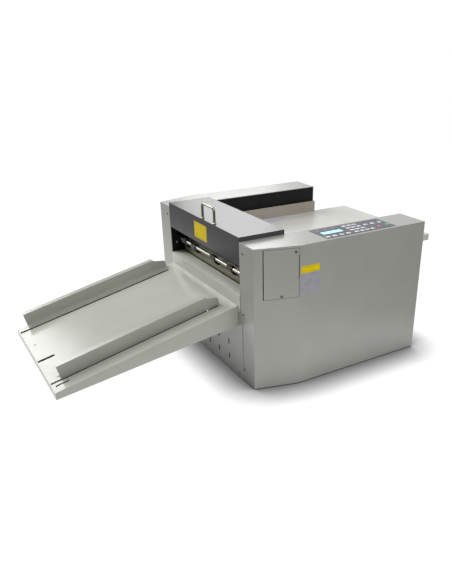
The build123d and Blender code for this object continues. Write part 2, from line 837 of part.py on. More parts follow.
for wheel_y in (perforating_wheel_margin, inner_width - perforating_wheel_margin):
    half = perforating_wheel_thickness / 2
    disc = ring_y(exit_x, perforating_z, perforating_wheel_radius, roller_core_radius, wheel_y - half,
                  wheel_y + half)
    hub = ring_y(exit_x, perforating_z, perforating_hub_radius, roller_core_radius, wheel_y + half,
                 wheel_y + perforating_hub_length)
    cutters.append(disc + hub)
perforating_wheels = group(cutters)

bushes = []
for bush_x, bush_z, bush_radius in shaft_places:
    bore = bush_radius + running_clearance
    sleeve = ring_y(bush_x, bush_z, bore + bush_wall, bore, -frame_thickness, 0)
    rim = ring_y(bush_x, bush_z, bore + bush_wall + bush_flange_rim, bore, -bush_reach,
                 -frame_thickness)
    bushes.append(sleeve + rim)
    bushes.append(mirrored(sleeve + rim))
shaft_bushes = group(bushes)

# Gears
tip_share = 0.90
root_share = 1.18
root_half_share = 0.30
pitch_half_share = 0.222
tip_half_share = 0.115


def gear_outline(x, z, teeth, phase):
    """Points of a spur gear's outline; phase is the angle of one tooth's middle, in degrees."""
    pitch = gear_module * teeth / 2
    rows = ((pitch - root_share * gear_module, root_half_share), (pitch, pitch_half_share),
            (pitch + tip_share * gear_module, tip_half_share))
    tooth_angle = 360 / teeth
    points = []
    for tooth in range(teeth):
        middle = phase + tooth * tooth_angle
        steps = [(radius, -half) for radius, half in rows] + [(r, h) for r, h in reversed(rows)]
        for radius, half in steps:
            turn = radians(middle + half * tooth_angle)
            points.append((x + radius * cos(turn), z + radius * sin(turn)))
    return points


def mesh_phase(direction, phase, teeth, other_teeth):
    """Phase of a gear that meshes with one of known phase, lying in the given direction from it."""
    return direction + 180 + 180 / other_teeth - (phase - direction) * teeth / other_teeth


def gear(x, z, teeth, phase, bore):
    """Spur gear on the near side of the near frame."""
    body = prism_y(gear_outline(x, z, teeth, phase), gear_near_y, gear_far_y)
    return body - rod_y(x, z, bore, gear_near_y - cut_overrun, gear_far_y + cut_overrun)


idler_phase = 0.0
toward_feed = degrees(atan2(feed_z - idler_z, feed_x - idler_x))
toward_exit = degrees(atan2(exit_z - idler_z, exit_x - idler_x))
toward_pinion = degrees(atan2(pinion_z - idler_z, pinion_x - idler_x))
feed_phase = mesh_phase(toward_feed, idler_phase, gear_teeth, gear_teeth)
exit_phase = mesh_phase(toward_exit, idler_phase, gear_teeth, gear_teeth)
pinion_phase = mesh_phase(toward_pinion, idler_phase, gear_teeth, pinion_teeth)
feed_gear = gear(feed_x, feed_z, gear_teeth, feed_phase, roller_core_radius)
exit_gear = gear(exit_x, exit_z, gear_teeth, exit_phase, roller_core_radius)
idler_gear = gear(idler_x, idler_z, gear_teeth, idler_phase, idler_bush_radius)
drive_pinion = gear(pinion_x, pinion_z, pinion_teeth, pinion_phase, pinion_shaft_radius)
drive_pinion += rod_y(pinion_x, pinion_z, pinion_shaft_radius, gear_near_y, pinion_shaft_depth)

drive_motor = Pos(pinion_x, motor_length / 2, pinion_z) * Rot(90, 0, 0) * extrude(
    RectangleRounded(2 * motor_half_size, 2 * motor_half_size, motor_corner),
    amount=motor_length / 2, both=True)
drive_motor -= rod_y(pinion_x, pinion_z, pinion_shaft_radius + running_clearance, -cut_overrun,
                     pinion_shaft_depth + gear_clearance)

# Creasing unit
anvil_half = anvil_width / 2
crease_anvil = block(crease_x - anvil_half, crease_x + anvil_half, seat_gap, inner_width - seat_gap,
                     anvil_bottom, anvil_top)
crease_anvil -= block(crease_x - anvil_groove_width / 2, crease_x + anvil_groove_width / 2,
                      blade_end_margin - beam_end_margin, inner_width - blade_end_margin
                      + beam_end_margin, anvil_top - anvil_groove_depth, anvil_top + cut_overrun)
beam_half = beam_width / 2
crease_beam = block(crease_x - beam_half, crease_x + beam_half, beam_end_margin,
                    inner_width - beam_end_margin, beam_bottom, beam_top)
blade_half = blade_thickness / 2
blade_room = block(crease_x - blade_half, crease_x + blade_half, blade_end_margin,
                   inner_width - blade_end_margin, beam_bottom - cut_overrun, blade_tip + blade_depth)
crease_beam -= blade_room
crease_blade = block(crease_x - blade_half, crease_x + blade_half, blade_end_margin,
                     inner_width - blade_end_margin, blade_tip, blade_tip + blade_depth)
pin_ys = (guide_pin_y, inner_width - guide_pin_y)
crease_guide_pins = group([rod_z(crease_x, y, guide_pin_radius, anvil_top, guide_pin_top)
                           for y in pin_ys])
for pin_y in pin_ys:
    crease_beam -= rod_z(crease_x, pin_y, guide_pin_radius + running_clearance,
                         beam_bottom - cut_overrun, beam_top + cut_overrun)
window_half = cam_disc_radius + cam_throw + cam_clearance
window_low = cam_shaft_z - window_half
window_high = cam_shaft_z + window_half + crease_stroke
yoke_ys = (yoke_y, inner_width - yoke_y)
yokes = []
for middle_y in yoke_ys:
    half = yoke_thickness / 2
    yoke_half = window_half + yoke_wall
    plate = block(crease_x - yoke_half, crease_x + yoke_half, middle_y - half, middle_y + half,
                  beam_top, window_high + yoke_wall)
    yokes.append(plate - block(crease_x - window_half, crease_x + window_half,
                               middle_y - half - cut_overrun, middle_y + half + cut_overrun,
                               window_low, window_high))
crease_yokes = group(yokes)
cam_shaft = rod_y(crease_x, cam_shaft_z, cam_shaft_radius, shaft_near_y,
                  inner_width + bush_reach + crease_motor_bore_depth)
for middle_y in yoke_ys:
    half = yoke_thickness / 2
    cam_shaft += rod_y(crease_x, cam_shaft_z + cam_throw, cam_disc_radius, middle_y - half,
                       middle_y + half)
motor_near_y = inner_width + frame_thickness + bush_flange
crease_motor = rod_y(crease_x, cam_shaft_z, crease_motor_radius, motor_near_y,
                     motor_near_y + crease_motor_length)
crease_motor -= rod_y(crease_x, cam_shaft_z, cam_shaft_radius + running_clearance,
                      motor_near_y - cut_overrun, motor_near_y + crease_motor_bore_depth
                      + gear_clearance)

# Delivery chute, finger shaft, holders and fingers
chute_inner = chute_radius - chute_sheet
chute_top = chute_z + chute_radius
chute_front = chute_x - chute_radius
mid_share = cos(radians(45))
chute_bow = [
    ThreePointArc((chute_x, 0, chute_top),
                  (chute_x - chute_radius * mid_share, 0, chute_z + chute_radius * mid_share),
                  (chute_front, 0, chute_z)),
    Line((chute_front, 0, chute_z), (chute_front, 0, shelf_top - panel_sheet)),
    Line((chute_front, 0, shelf_top - panel_sheet), (chute_front + chute_sheet, 0, shelf_top
                                                     - panel_sheet)),
    Line((chute_front + chute_sheet, 0, shelf_top - panel_sheet), (chute_front + chute_sheet, 0,
                                                                   chute_z)),
    ThreePointArc((chute_front + chute_sheet, 0, chute_z),
                  (chute_x - chute_inner * mid_share, 0, chute_z + chute_inner * mid_share),
                  (chute_x, 0, chute_z + chute_inner)),
    Line((chute_x, 0, chute_z + chute_inner), (chute_x, 0, chute_top)),
]
delivery_chute = Pos(0, side_gap, 0) * extrude(make_face(chute_bow), amount=inner_width - 2 * side_gap,
                                              dir=(0, 1, 0))
finger_shaft = rod_y(finger_shaft_x, finger_shaft_z, finger_shaft_radius, -frame_thickness,
                     inner_width + frame_thickness)


def strap_y(start, end, y0, y1):
    """Tapered bar along Y between two rounds, each given as X, Z and radius."""
    start_x, start_z, start_radius = start
    end_x, end_z, end_radius = end
    reach = hypot(end_x - start_x, end_z - start_z)
    across_x = -(end_z - start_z) / reach
    across_z = (end_x - start_x) / reach
    sides = prism_y([(start_x + start_radius * across_x, start_z + start_radius * across_z),
                     (end_x + end_radius * across_x, end_z + end_radius * across_z),
                     (end_x - end_radius * across_x, end_z - end_radius * across_z),
                     (start_x - start_radius * across_x, start_z - start_radius * across_z)], y0, y1)
    return sides + rod_y(end_x, end_z, end_radius, y0, y1)


finger_root = (finger_shaft_x, finger_shaft_z, finger_shaft_radius)
finger_heel = (finger_heel_x, finger_heel_z, finger_heel_radius)
finger_tip = (finger_tip_x, finger_tip_z, finger_tip_radius)
holders = []
fingers = []
for share in finger_place_shares:
    finger_y = inner_width * share
    holder_near = finger_y + finger_width / 2
    half_block = holder_block / 2
    body = block(finger_shaft_x - half_block, finger_shaft_x + half_block, holder_near,
                 holder_near + holder_width, finger_shaft_z - holder_height / 2,
                 finger_shaft_z + holder_height / 2)
    holders.append(body - rod_y(finger_shaft_x, finger_shaft_z, finger_shaft_radius,
                                holder_near - cut_overrun, holder_near + holder_width + cut_overrun))
    near_y = finger_y - finger_width / 2
    far_y = finger_y + finger_width / 2
    hub = rod_y(finger_shaft_x, finger_shaft_z, finger_hub_radius, near_y, far_y)
    leg = strap_y(finger_root, finger_heel, near_y, far_y)
    toe = strap_y(finger_heel, finger_tip, near_y, far_y)
    fingers.append(hub + leg + toe - rod_y(finger_shaft_x, finger_shaft_z, finger_shaft_radius,
                                           near_y - cut_overrun, far_y + cut_overrun))
finger_holders = group(holders)
guide_fingers = group(fingers)

# Delivery tray
tray_x = -panel_sheet - seat_gap
tray_turn = radians(tray_angle)


def on_tray(along, height):
    """X and Z of a place on the sloping plate: along it from the machine, and above it."""
    return (tray_x - along * cos(tray_turn) - height * sin(tray_turn),
            tray_top_z - along * sin(tray_turn) + height * cos(tray_turn))


def tray_prism(along0, along1, height0, height1, y0, y1):
    """Box laid on the sloping plate."""
    corners = [on_tray(along0, height0), on_tray(along1, height0), on_tray(along1, height1),
               on_tray(along0, height1)]
    return prism_y(corners, y0, y1)


tray_end_x, tray_end_z = on_tray(tray_length, 0)
plate_drop = tray_sheet / cos(tray_turn)
plate_outline = [(tray_x, tray_top_z), (tray_end_x, tray_end_z), (tray_end_x, tray_end_z - plate_drop),
                 (tray_x, tray_top_z - plate_drop)]
delivery_tray = prism_y(plate_outline, tray_near_y, tray_far_y)
side_outline = [(tray_x, tray_top_z), (tray_end_x, tray_end_z),
                (tray_end_x, tray_end_z - tray_shallow_end), (tray_x, tray_top_z - tray_deep_end)]
for wall_y in (tray_near_y, tray_far_y - tray_sheet):
    delivery_tray += prism_y(side_outline, wall_y, wall_y + tray_sheet)
end_rise = tray_sheet * tan(tray_turn)
delivery_tray += prism_y([(tray_end_x, tray_end_z), (tray_end_x + tray_sheet, tray_end_z + end_rise),
                          (tray_end_x + tray_sheet, tray_end_z - tray_shallow_end),
                          (tray_end_x, tray_end_z - tray_shallow_end)], tray_near_y, tray_far_y)
delivery_tray += prism_y([(tray_x - tray_sheet, tray_top_z - end_rise), (tray_x, tray_top_z),
                          (tray_x, tray_top_z - tray_deep_end),
                          (tray_x - tray_sheet, tray_top_z - tray_deep_end)], tray_near_y, tray_far_y)
slot_end = tray_length - tray_sheet / cos(tray_turn)
short_end = tray_length - tray_short_slot_margin
tray_far_slot_y = inner_width - tray_far_slot_margin
tray_middle_slot_y = inner_width / 2 - tray_middle_slot_offset
far_dot_y = inner_width - far_dot_margin
slots = ((tray_slot_start, slot_end, tray_far_slot_y, tray_far_slot_width),
         (tray_slot_start, slot_end, tray_near_slot_y, tray_near_slot_width),
         (short_end - tray_short_slot_length, short_end, tray_short_slot_y, tray_short_slot_width),
         (slot_end - tray_middle_slot_length, slot_end, tray_middle_slot_y, tray_middle_slot_width))
for along0, along1, slot_y, width in slots:
    delivery_tray -= tray_prism(along0, along1, -tray_sheet - cut_overrun, cut_overrun,
                                slot_y - width / 2, slot_y + width / 2)
for dot_along, dot_y in ((near_dot_along, near_dot_y), (far_dot_along, far_dot_y)):
    dot_x, dot_z = on_tray(dot_along, 0)
    drill = Pos(dot_x, dot_y, dot_z) * Rot(0, -tray_angle, 0) * Cylinder(
        tray_dot_radius, 2 * (tray_sheet + cut_overrun))
    delivery_tray -= drill
for hook_y in hook_ys:
    hook_near = hook_y - tray_hook_width / 2
    hook_far = hook_y + tray_hook_width / 2
    delivery_tray += block(tray_x - tray_sheet / 2, tray_x + tray_hook_reach, hook_near, hook_far,
                           hook_bottom, hook_bottom + tray_hook_height)
    delivery_tray += block(seat_gap, tray_x + tray_hook_reach, hook_near, hook_far,
                           hook_bottom - tray_hook_lip, hook_bottom)

tray_bottom = tray_prism(tray_bottom_start, tray_length - tray_bottom_end_gap,
                         -tray_bottom_drop - tray_bottom_sheet, -tray_bottom_drop,
                         tray_near_y + tray_sheet + seat_gap, tray_far_y - tray_sheet - seat_gap)


def tray_guide(face_y, foot_near, foot_far):
    """Side guide: an upright face with a lowered tail at the machine end, a foot and a top hem."""
    outline = [on_tray(guide_start, guide_lift), on_tray(guide_start, guide_tail_height
                                                       - guide_tail_corner),
               on_tray(guide_start + guide_tail_corner, guide_tail_height),
               on_tray(guide_step_along, guide_height - guide_step_drop),
               on_tray(guide_step_along + guide_step_drop, guide_height),
               on_tray(guide_end, guide_height), on_tray(guide_end, guide_lift)]
    wall = prism_y(outline, face_y, face_y + guide_sheet)
    foot = tray_prism(guide_start, guide_end, guide_lift, guide_lift + guide_sheet,
                      foot_near, foot_far)
    hem = tray_prism(guide_step_along + guide_step_drop, guide_end, guide_height - guide_sheet,
                     guide_height, face_y + guide_sheet, face_y + guide_sheet + guide_hem)
    return wall + foot + hem


near_tray_guide = tray_guide(near_guide_y, near_guide_y, near_guide_y + guide_sheet + guide_foot)
far_guide_y = inner_width - far_guide_margin
far_tray_guide = tray_guide(far_guide_y, far_guide_y - guide_foot, far_guide_y + guide_sheet)

# Electrical pieces
supply_near_y = inner_width + frame_thickness + supply_y_gap
power_supply = block(supply_start, supply_start + supply_length, supply_near_y,
                     supply_near_y + supply_width, base_top, base_top + supply_height)
rear_face = housing_length
power_inlet = block(rear_face, rear_face + inlet_flange, inlet_y - inlet_flange_width / 2,
                    inlet_y + inlet_flange_width / 2, inlet_z - inlet_flange_height / 2,
                    inlet_z + inlet_flange_height / 2)
power_inlet += block(rear_face - inlet_body_depth, rear_face, inlet_y - inlet_body_width / 2,
                     inlet_y + inlet_body_width / 2, inlet_z - inlet_body_height / 2,
                     inlet_z + inlet_body_height / 2)
cavity_back = rear_face + inlet_flange - inlet_cavity_depth
power_inlet -= block(cavity_back, rear_face + inlet_flange + cut_overrun,
                     inlet_y - inlet_cavity_width / 2, inlet_y + inlet_cavity_width / 2,
                     inlet_z - inlet_cavity_height / 2, inlet_z + inlet_cavity_height / 2)
for blade_y, blade_z in ((inlet_y - inlet_blade_spread, inlet_z - inlet_line_rise),
                         (inlet_y, inlet_z + inlet_earth_drop),
                         (inlet_y + inlet_blade_spread, inlet_z - inlet_line_rise)):
    power_inlet += block(cavity_back, cavity_back + inlet_blade_length, blade_y
                         - inlet_blade_width / 2, blade_y + inlet_blade_width / 2,
                         blade_z - inlet_blade_height / 2, blade_z + inlet_blade_height / 2)

rocker_x = rear_face - housing_wall - running_clearance - rocker_pin_radius
rocker_outline = [(rocker_x - rocker_rise, switch_z - rocker_height / 2 + rocker_rise),
                  (rear_face + rocker_rise, switch_z - rocker_height / 2 + rocker_gap),
                  (rear_face, switch_z), (rear_face + rocker_gap, switch_z + rocker_height / 2
                                          - rocker_gap),
                  (rocker_x - rocker_rise, switch_z + rocker_height / 2 - rocker_rise)]
power_switch = prism_y(rocker_outline, switch_y - rocker_width / 2, switch_y + rocker_width / 2)
power_switch += rod_y(rocker_x, switch_z, rocker_pin_radius,
                      switch_y - rocker_width / 2 - rocker_pin_reach,
                      switch_y + rocker_width / 2 + rocker_pin_reach)
switch_case_front = rear_face - housing_wall
switch_case = block(switch_case_front - switch_depth, switch_case_front,
                    switch_y - switch_width / 2, switch_y + switch_width / 2,
                    switch_z - switch_height / 2, switch_z + switch_height / 2)
switch_case -= block(switch_case_front - rocker_recess, switch_case_front + cut_overrun,
                     switch_y - rocker_width / 2 - rocker_gap,
                     switch_y + rocker_width / 2 + rocker_gap,
                     switch_z - rocker_height / 2 - rocker_gap,
                     switch_z + rocker_height / 2 + rocker_gap)
switch_case -= rod_y(rocker_x, switch_z, rocker_pin_radius + running_clearance,
                     switch_y - rocker_width / 2 - rocker_pin_reach - running_clearance,
                     switch_y + rocker_width / 2 + rocker_pin_reach + running_clearance)
rear_panel += switch_case

nodes = {
    "base_plate": base_plate, "rubber_feet": rubber_feet, "near_side_frame": near_side_frame,
    "far_side_frame": far_side_frame, "near_housing": near_housing, "far_housing": far_housing,
    "end_panel": end_panel, "delivery_shelf": delivery_shelf, "rear_panel": rear_panel,
    "panel_screws": panel_screws, "service_door": service_door, "door_screws": door_screws,
    "hinge_pins": hinge_pins, "top_cover": top_cover, "cover_handle": cover_handle,
    "cover_label": cover_label, "side_label": side_label, "control_overlay": control_overlay,
    "display_window": display_window, "control_board": control_board, "keypad_keys": keypad_keys,
    "stop_key": stop_key, "start_key": start_key, "feed_table": feed_table,
    "table_rails": table_rails, "table_extension": table_extension, "feed_fence": feed_fence,
    "table_label": table_label, "feed_guard": feed_guard, "feed_shaft": feed_shaft,
    "feed_rollers": feed_rollers, "feed_gear": feed_gear, "feed_pressure_shaft": feed_pressure_shaft,
    "feed_pressure_wheels": feed_pressure_wheels, "exit_shaft": exit_shaft,
    "exit_rollers": exit_rollers, "exit_gear": exit_gear, "perforating_shaft": perforating_shaft,
    "exit_pressure_wheels": exit_pressure_wheels, "perforating_wheels": perforating_wheels,
    "idler_gear": idler_gear, "drive_pinion": drive_pinion, "drive_motor": drive_motor,
    "shaft_bushes": shaft_bushes, "crease_anvil": crease_anvil, "crease_beam": crease_beam,
    "crease_yokes": crease_yokes, "crease_blade": crease_blade,
    "crease_guide_pins": crease_guide_pins, "cam_shaft": cam_shaft,
    "crease_motor": crease_motor, "delivery_chute": delivery_chute, "finger_shaft": finger_shaft,
    "finger_holders": finger_holders, "guide_fingers": guide_fingers,
    "delivery_tray": delivery_tray, "tray_bottom": tray_bottom, "near_tray_guide": near_tray_guide,
    "far_tray_guide": far_tray_guide, "power_supply": power_supply, "power_inlet": power_inlet,
    "power_switch": power_switch,
}

# The origin goes to the centre of the base of the whole object
low_x = min(shape.bounding_box().min.X for shape in nodes.values())
high_x = max(shape.bounding_box().max.X for shape in nodes.values())
low_y = min(shape.bounding_box().min.Y for shape in nodes.values())
high_y = max(shape.bounding_box().max.Y for shape in nodes.values())
shift = (-(low_x + high_x) / 2, -(low_y + high_y) / 2, 0)

os.makedirs("parts", exist_ok=True)
for name, shape in nodes.items():
    export_step(Pos(*shift) * shape, f"parts/{name}.step")
print("nodes", len(nodes), "shift", shift)
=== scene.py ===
# %% [markdown]
# # A desktop creasing and perforating machine
# Sheets of card lie on the feed table behind the machine, run under a hinged cover where they are creased
# and perforated, and slide down the long tray in front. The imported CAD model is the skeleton: it gives
# every piece its size and place. This lesson dresses it, one real finish and one real piece at a time.

import math

import bmesh
import bpy
import numpy as np
from mathutils import Matrix, Vector


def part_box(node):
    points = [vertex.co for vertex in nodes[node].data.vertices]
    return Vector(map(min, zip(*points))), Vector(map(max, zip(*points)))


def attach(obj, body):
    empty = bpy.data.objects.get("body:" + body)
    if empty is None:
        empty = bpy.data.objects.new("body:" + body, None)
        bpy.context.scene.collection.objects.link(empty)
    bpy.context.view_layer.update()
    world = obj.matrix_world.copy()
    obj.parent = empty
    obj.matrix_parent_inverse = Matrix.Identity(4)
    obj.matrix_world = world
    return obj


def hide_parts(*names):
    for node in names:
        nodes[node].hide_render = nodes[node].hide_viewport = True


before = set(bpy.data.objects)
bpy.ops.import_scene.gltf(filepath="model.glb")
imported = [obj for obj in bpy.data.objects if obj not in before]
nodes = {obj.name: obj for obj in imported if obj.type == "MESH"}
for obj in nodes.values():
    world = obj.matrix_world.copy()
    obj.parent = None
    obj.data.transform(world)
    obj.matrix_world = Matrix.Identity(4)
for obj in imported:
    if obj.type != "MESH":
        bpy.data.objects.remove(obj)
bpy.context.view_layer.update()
MM = 0.001
print("packed nodes:", len(nodes))

# %% [markdown]
# ## One way to say where things are
# The machine was drawn from its delivery end face (x = 0), the inner face of the near side frame (y = 0)
# and the floor (z = 0). Places could be typed in metres in the model's own frame, but nobody can check
# such numbers with a ruler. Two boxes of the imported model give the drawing's corner instead, so that every
# place below is written in plain millimetres on the machine and still follows the model.

# %% Places on the machine, in millimetres
corner = np.array([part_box("near_housing")[0][0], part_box("near_side_frame")[1][1], 0.0])


def place(points):
    """Millimetres on the machine to metres in the model's frame, for one point or an array of them."""
    return np.asarray(points, float) * MM + corner


def node_box(name):
    """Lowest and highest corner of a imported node, in millimetres on the machine."""
    low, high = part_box(name)
    return (np.array(low) - corner) / MM, (np.array(high) - corner) / MM


inner_width = node_box("far_side_frame")[0][1]
print("machine corner in metres:", np.round(corner, 4), "clear width in mm:", round(inner_width, 2))

# %% [markdown]
# ## The camera
# The photograph was taken from the operator's side, a little above the table height, from about a metre
# and a half away. A camera set by eye is never close enough to compare edge with edge, so the numbers come
# from matching forty corners of the machine. The picture was cropped after it was taken, so its optical
# axis lies off its centre, and the camera is shifted by that much.

# %% Camera that matches the photograph
picture_width, picture_height = 452, 584
focal_pixels = 604.12
axis_x, axis_y = 277.16, 326.81
azimuth, elevation, roll = math.radians(-32.69), math.radians(25.15), math.radians(0.24)
stand_point = place([-715.3, -1296.2, 856.7])

back = Vector((math.sin(azimuth) * math.cos(elevation), -math.cos(azimuth) * math.cos(elevation),
               math.sin(elevation)))
camera_data = bpy.data.cameras.new("photo_camera")
camera_data.sensor_width = 36.0
camera_data.lens = focal_pixels * camera_data.sensor_width / picture_height
camera_data.shift_x = (picture_width / 2 - axis_x) / picture_height
camera_data.shift_y = (axis_y - picture_height / 2) / picture_height
camera_data.clip_start, camera_data.clip_end = 0.01, 100.0
camera = bpy.data.objects.new("photo_camera", camera_data)
bpy.context.scene.collection.objects.link(camera)
turn = (-back).to_track_quat("-Z", "Y").to_matrix() @ Matrix.Rotation(roll, 3, "Z")
camera.matrix_world = Matrix.Translation(Vector(stand_point)) @ turn.to_4x4()
bpy.context.scene.camera = camera
bpy.context.scene.view_settings.view_transform = "Standard"
print("lens mm:", round(camera_data.lens, 2))


# %% [markdown]
# ## Colours and nodes
# Colours are read off real samples as sRGB hex values, but Blender's shaders work with linear light. One
# function converts them. A second one adds a shader node with its settings and links, so that a material
# reads as a short list. A third one starts a material, and a fourth one blends two close tones.

# %% Small helpers for materials
def linear(hex_colour, alpha=1.0):
    """Linear RGBA of an sRGB hex colour: each channel is (v + 0.055) / 1.055 to the power 2.4."""
    values = np.array([int(hex_colour[i:i + 2], 16) for i in (0, 2, 4)]) / 255
    low = values / 12.92
    high = ((values + 0.055) / 1.055) ** 2.4
    return (*np.where(values <= 0.04045, low, high), alpha)


def add_node(tree, kind, values=None, links=None, **settings):
    """One shader node: its settings, the values of its sockets, and the links into them."""
    node = tree.nodes.new(kind)
    for name, value in settings.items():
        setattr(node, name, value)
    for socket, value in (values or {}).items():
        node.inputs[socket].default_value = value
    for socket, source in (links or {}).items():
        tree.links.new(source, node.inputs[socket])
    return node


def new_finish(name, **values):
    """Empty material with one Principled shader; values are its socket values. Returns the material, tree,
    shader and the Object coordinates that its patterns read."""
    material = bpy.data.materials.new(name)
    material.use_nodes = True
    tree = material.node_tree
    tree.nodes.clear()
    shader = add_node(tree, "ShaderNodeBsdfPrincipled", values)
    add_node(tree, "ShaderNodeOutputMaterial", links={"Surface": shader.outputs["BSDF"]})
    spots = add_node(tree, "ShaderNodeTexCoord").outputs["Object"]
    return material, tree, shader, spots


def between(tree, factor, low, high):
    """Colour ramp from one hex colour to another, driven by a 0 to 1 value."""
    ramp = add_node(tree, "ShaderNodeValToRGB", links={"Fac": factor})
    ramp.color_ramp.elements[0].color = linear(low)
    ramp.color_ramp.elements[1].color = linear(high)
    ramp.color_ramp.elements[0].position = 0.3
    ramp.color_ramp.elements[1].position = 0.7
    return ramp.outputs["Color"]


# %% [markdown]
# ## Powder coat
# Office machines of this kind are folded from steel sheet and powder coated. The powder melts into a skin
# with a fine, leathery grain, about a millimetre across, that breaks up every reflection. It is a hard
# polyester: IOR near 1.5 and a satin gloss. A fine noise lifts the skin, and a slow one changes the
# tone by a percent or two, as powder lies thicker in some places. The real grain is finer than a pixel
# of this picture, so a second, gentler swell about five millimetres across carries the sparkle. Noises in
# real millimetres do this better than an image of paint, which would repeat, and blur close by.

# %% Powder-coated sheet
cloud_mm, swell_width_mm = 90, 4.5


def powder_coat(name, light, dark, grain_mm=1.1, roughness=0.34, lift_mm=0.03, swell_mm=0.07, gloss=0.5):
    """Polyester powder coat on sheet steel, in two close tones. Its grain has a width and a lift, and its
    swell a lift, in millimetres."""
    material, tree, shader, spots = new_finish(name, IOR=1.5, Roughness=roughness)
    shader.inputs["Specular IOR Level"].default_value = gloss
    slow = add_node(tree, "ShaderNodeTexNoise", {"Scale": 1 / (cloud_mm * MM), "Detail": 3.0},
                    {"Vector": spots})
    grain = add_node(tree, "ShaderNodeTexNoise", {"Scale": 1 / (grain_mm * MM), "Detail": 2.0,
                                                  "Roughness": 0.6}, {"Vector": spots})
    swell = add_node(tree, "ShaderNodeTexNoise", {"Scale": 1 / (swell_width_mm * MM), "Detail": 2.0},
                     {"Vector": spots})
    tone = add_node(tree, "ShaderNodeMath", {1: 0.55}, {0: grain.outputs["Fac"]}, operation="MULTIPLY")
    both = add_node(tree, "ShaderNodeMath", {1: 0.45},
                    {0: slow.outputs["Fac"], 2: tone.outputs[0]}, operation="MULTIPLY_ADD")
    wave = add_node(tree, "ShaderNodeBump", {"Strength": 1.0, "Distance": swell_mm * MM},
                    {"Height": swell.outputs["Fac"]})
    bump = add_node(tree, "ShaderNodeBump", {"Strength": 0.7, "Distance": lift_mm * MM},
                    {"Height": grain.outputs["Fac"], "Normal": wave.outputs["Normal"]})
    tree.links.new(between(tree, both.outputs[0], dark, light), shader.inputs["Base Color"])
    tree.links.new(bump.outputs["Normal"], shader.inputs["Normal"])
    return material


# Housings, door and end panels: a calm satin grey.
housing_coat = powder_coat("housing_powder_coat", "9FA09A", "979892", roughness=0.25, swell_mm=0.13)
# Tray: the smoothest coat, with a strong swell, so that its outer end sparkles where it mirrors a light.
tray_coat = powder_coat("tray_powder_coat", "A9AAA2", "A1A29A", roughness=0.16, swell_mm=0.26, gloss=0.27)
guide_coat = powder_coat("guide_powder_coat", "A3A49C", "9A9B93", roughness=0.25)
# Feed table and delivery shelf: their own lighter grey, raised further as painted light for their recesses.
table_coat_with_painted_light = powder_coat("table_powder_coat_painted_light", "C9C9C3", "C1C1BB", roughness=0.3)
shelf_coat_with_painted_light = powder_coat("shelf_powder_coat_painted_light", "C3C4BC", "BBBCB4", roughness=0.3)
# Cover: charcoal with a finer grain, whose top mirrors the bright room at a low angle.
cover_coat = powder_coat("cover_powder_coat", "454548", "3D3D40", grain_mm=0.8, roughness=0.22,
                         lift_mm=0.012, swell_mm=0.02, gloss=0.35)
# Feed fence: a warm taupe. Chute: a dull olive.
fence_coat = powder_coat("fence_powder_coat", "A59C92", "9B9288", roughness=0.34)
chute_coat = powder_coat("chute_olive_coat", "8E8C77", "807E67", roughness=0.36)
print("powder coats made")


# %% [markdown]
# ## Black paint inside
# The side frames are painted matt black, so that the working space swallows stray light. Years of hands
# and card edges leave soft, slightly shinier rubs. An even black would look like a hole in the picture, so
# a slow noise in the roughness draws the rubs.

# %% Matt black frame paint
def matt_black(name, light="191A1A", dark="101111", roughness=0.55, rub_mm=60, skin_mm=0.9):
    """Matt black stoving paint with rubbed, slightly shinier areas."""
    material, tree, shader, spots = new_finish(name, IOR=1.48, Roughness=roughness)
    shader.inputs["Specular IOR Level"].default_value = 0.25
    rubs = add_node(tree, "ShaderNodeTexNoise", {"Scale": 1 / (rub_mm * MM), "Detail": 6.0,
                                                 "Distortion": 1.2}, {"Vector": spots})
    skin = add_node(tree, "ShaderNodeTexNoise", {"Scale": 1 / (skin_mm * MM)}, {"Vector": spots})
    wear = add_node(tree, "ShaderNodeMapRange", {"To Min": roughness - 0.15, "To Max": roughness + 0.1},
                    {"Value": rubs.outputs["Fac"]})
    bump = add_node(tree, "ShaderNodeBump", {"Strength": 0.4, "Distance": 0.02 * MM},
                    {"Height": skin.outputs["Fac"]})
    tree.links.new(between(tree, rubs.outputs["Fac"], dark, light), shader.inputs["Base Color"])
    tree.links.new(wear.outputs[0], shader.inputs["Roughness"])
    tree.links.new(bump.outputs["Normal"], shader.inputs["Normal"])
    return material


frame_black = matt_black("frame_matt_black")
motor_black = matt_black("motor_black_paint", "2A2B2D", "1F2022", 0.42)
print("black paints made")


# %% [markdown]
# ## Bare metals
# Ground steel, zinc-plated sheet, bronze and aluminium all show the marks of the tool that finished them:
# fine lines along the grinding direction, here about a third of a millimetre apart, which is as coarse as
# they need to be to show, and three centimetres long. The shader's anisotropy would only stretch the
# highlights, so a noise stretched along one axis draws the lines themselves, in the bump and in the
# roughness. A metal keeps the default IOR, and its colour is its reflection.

# %% Machined metal
line_length_mm = 30


def machined(name, light, dark, roughness=0.28, along="y", line_mm=0.35, lift_mm=0.01):
    """Metal with fine lines along one axis of the machine."""
    material, tree, shader, spots = new_finish(name, Metallic=1.0, Roughness=roughness)
    fine, long = 1 / (line_mm * MM), 1 / (line_length_mm * MM)
    stretch = {"x": (long, fine, fine), "y": (fine, long, fine), "z": (fine, fine, long)}[along]
    lay = add_node(tree, "ShaderNodeMapping", {"Scale": stretch}, {"Vector": spots})
    lines = add_node(tree, "ShaderNodeTexNoise", {"Scale": 1.0, "Detail": 3.0},
                     {"Vector": lay.outputs["Vector"]})
    spread = add_node(tree, "ShaderNodeMapRange", {"To Min": roughness - 0.08, "To Max": roughness + 0.12},
                      {"Value": lines.outputs["Fac"]})
    bump = add_node(tree, "ShaderNodeBump", {"Strength": 0.5, "Distance": lift_mm * MM},
                    {"Height": lines.outputs["Fac"]})
    tree.links.new(between(tree, lines.outputs["Fac"], dark, light), shader.inputs["Base Color"])
    tree.links.new(spread.outputs[0], shader.inputs["Roughness"])
    tree.links.new(bump.outputs["Normal"], shader.inputs["Normal"])
    return material


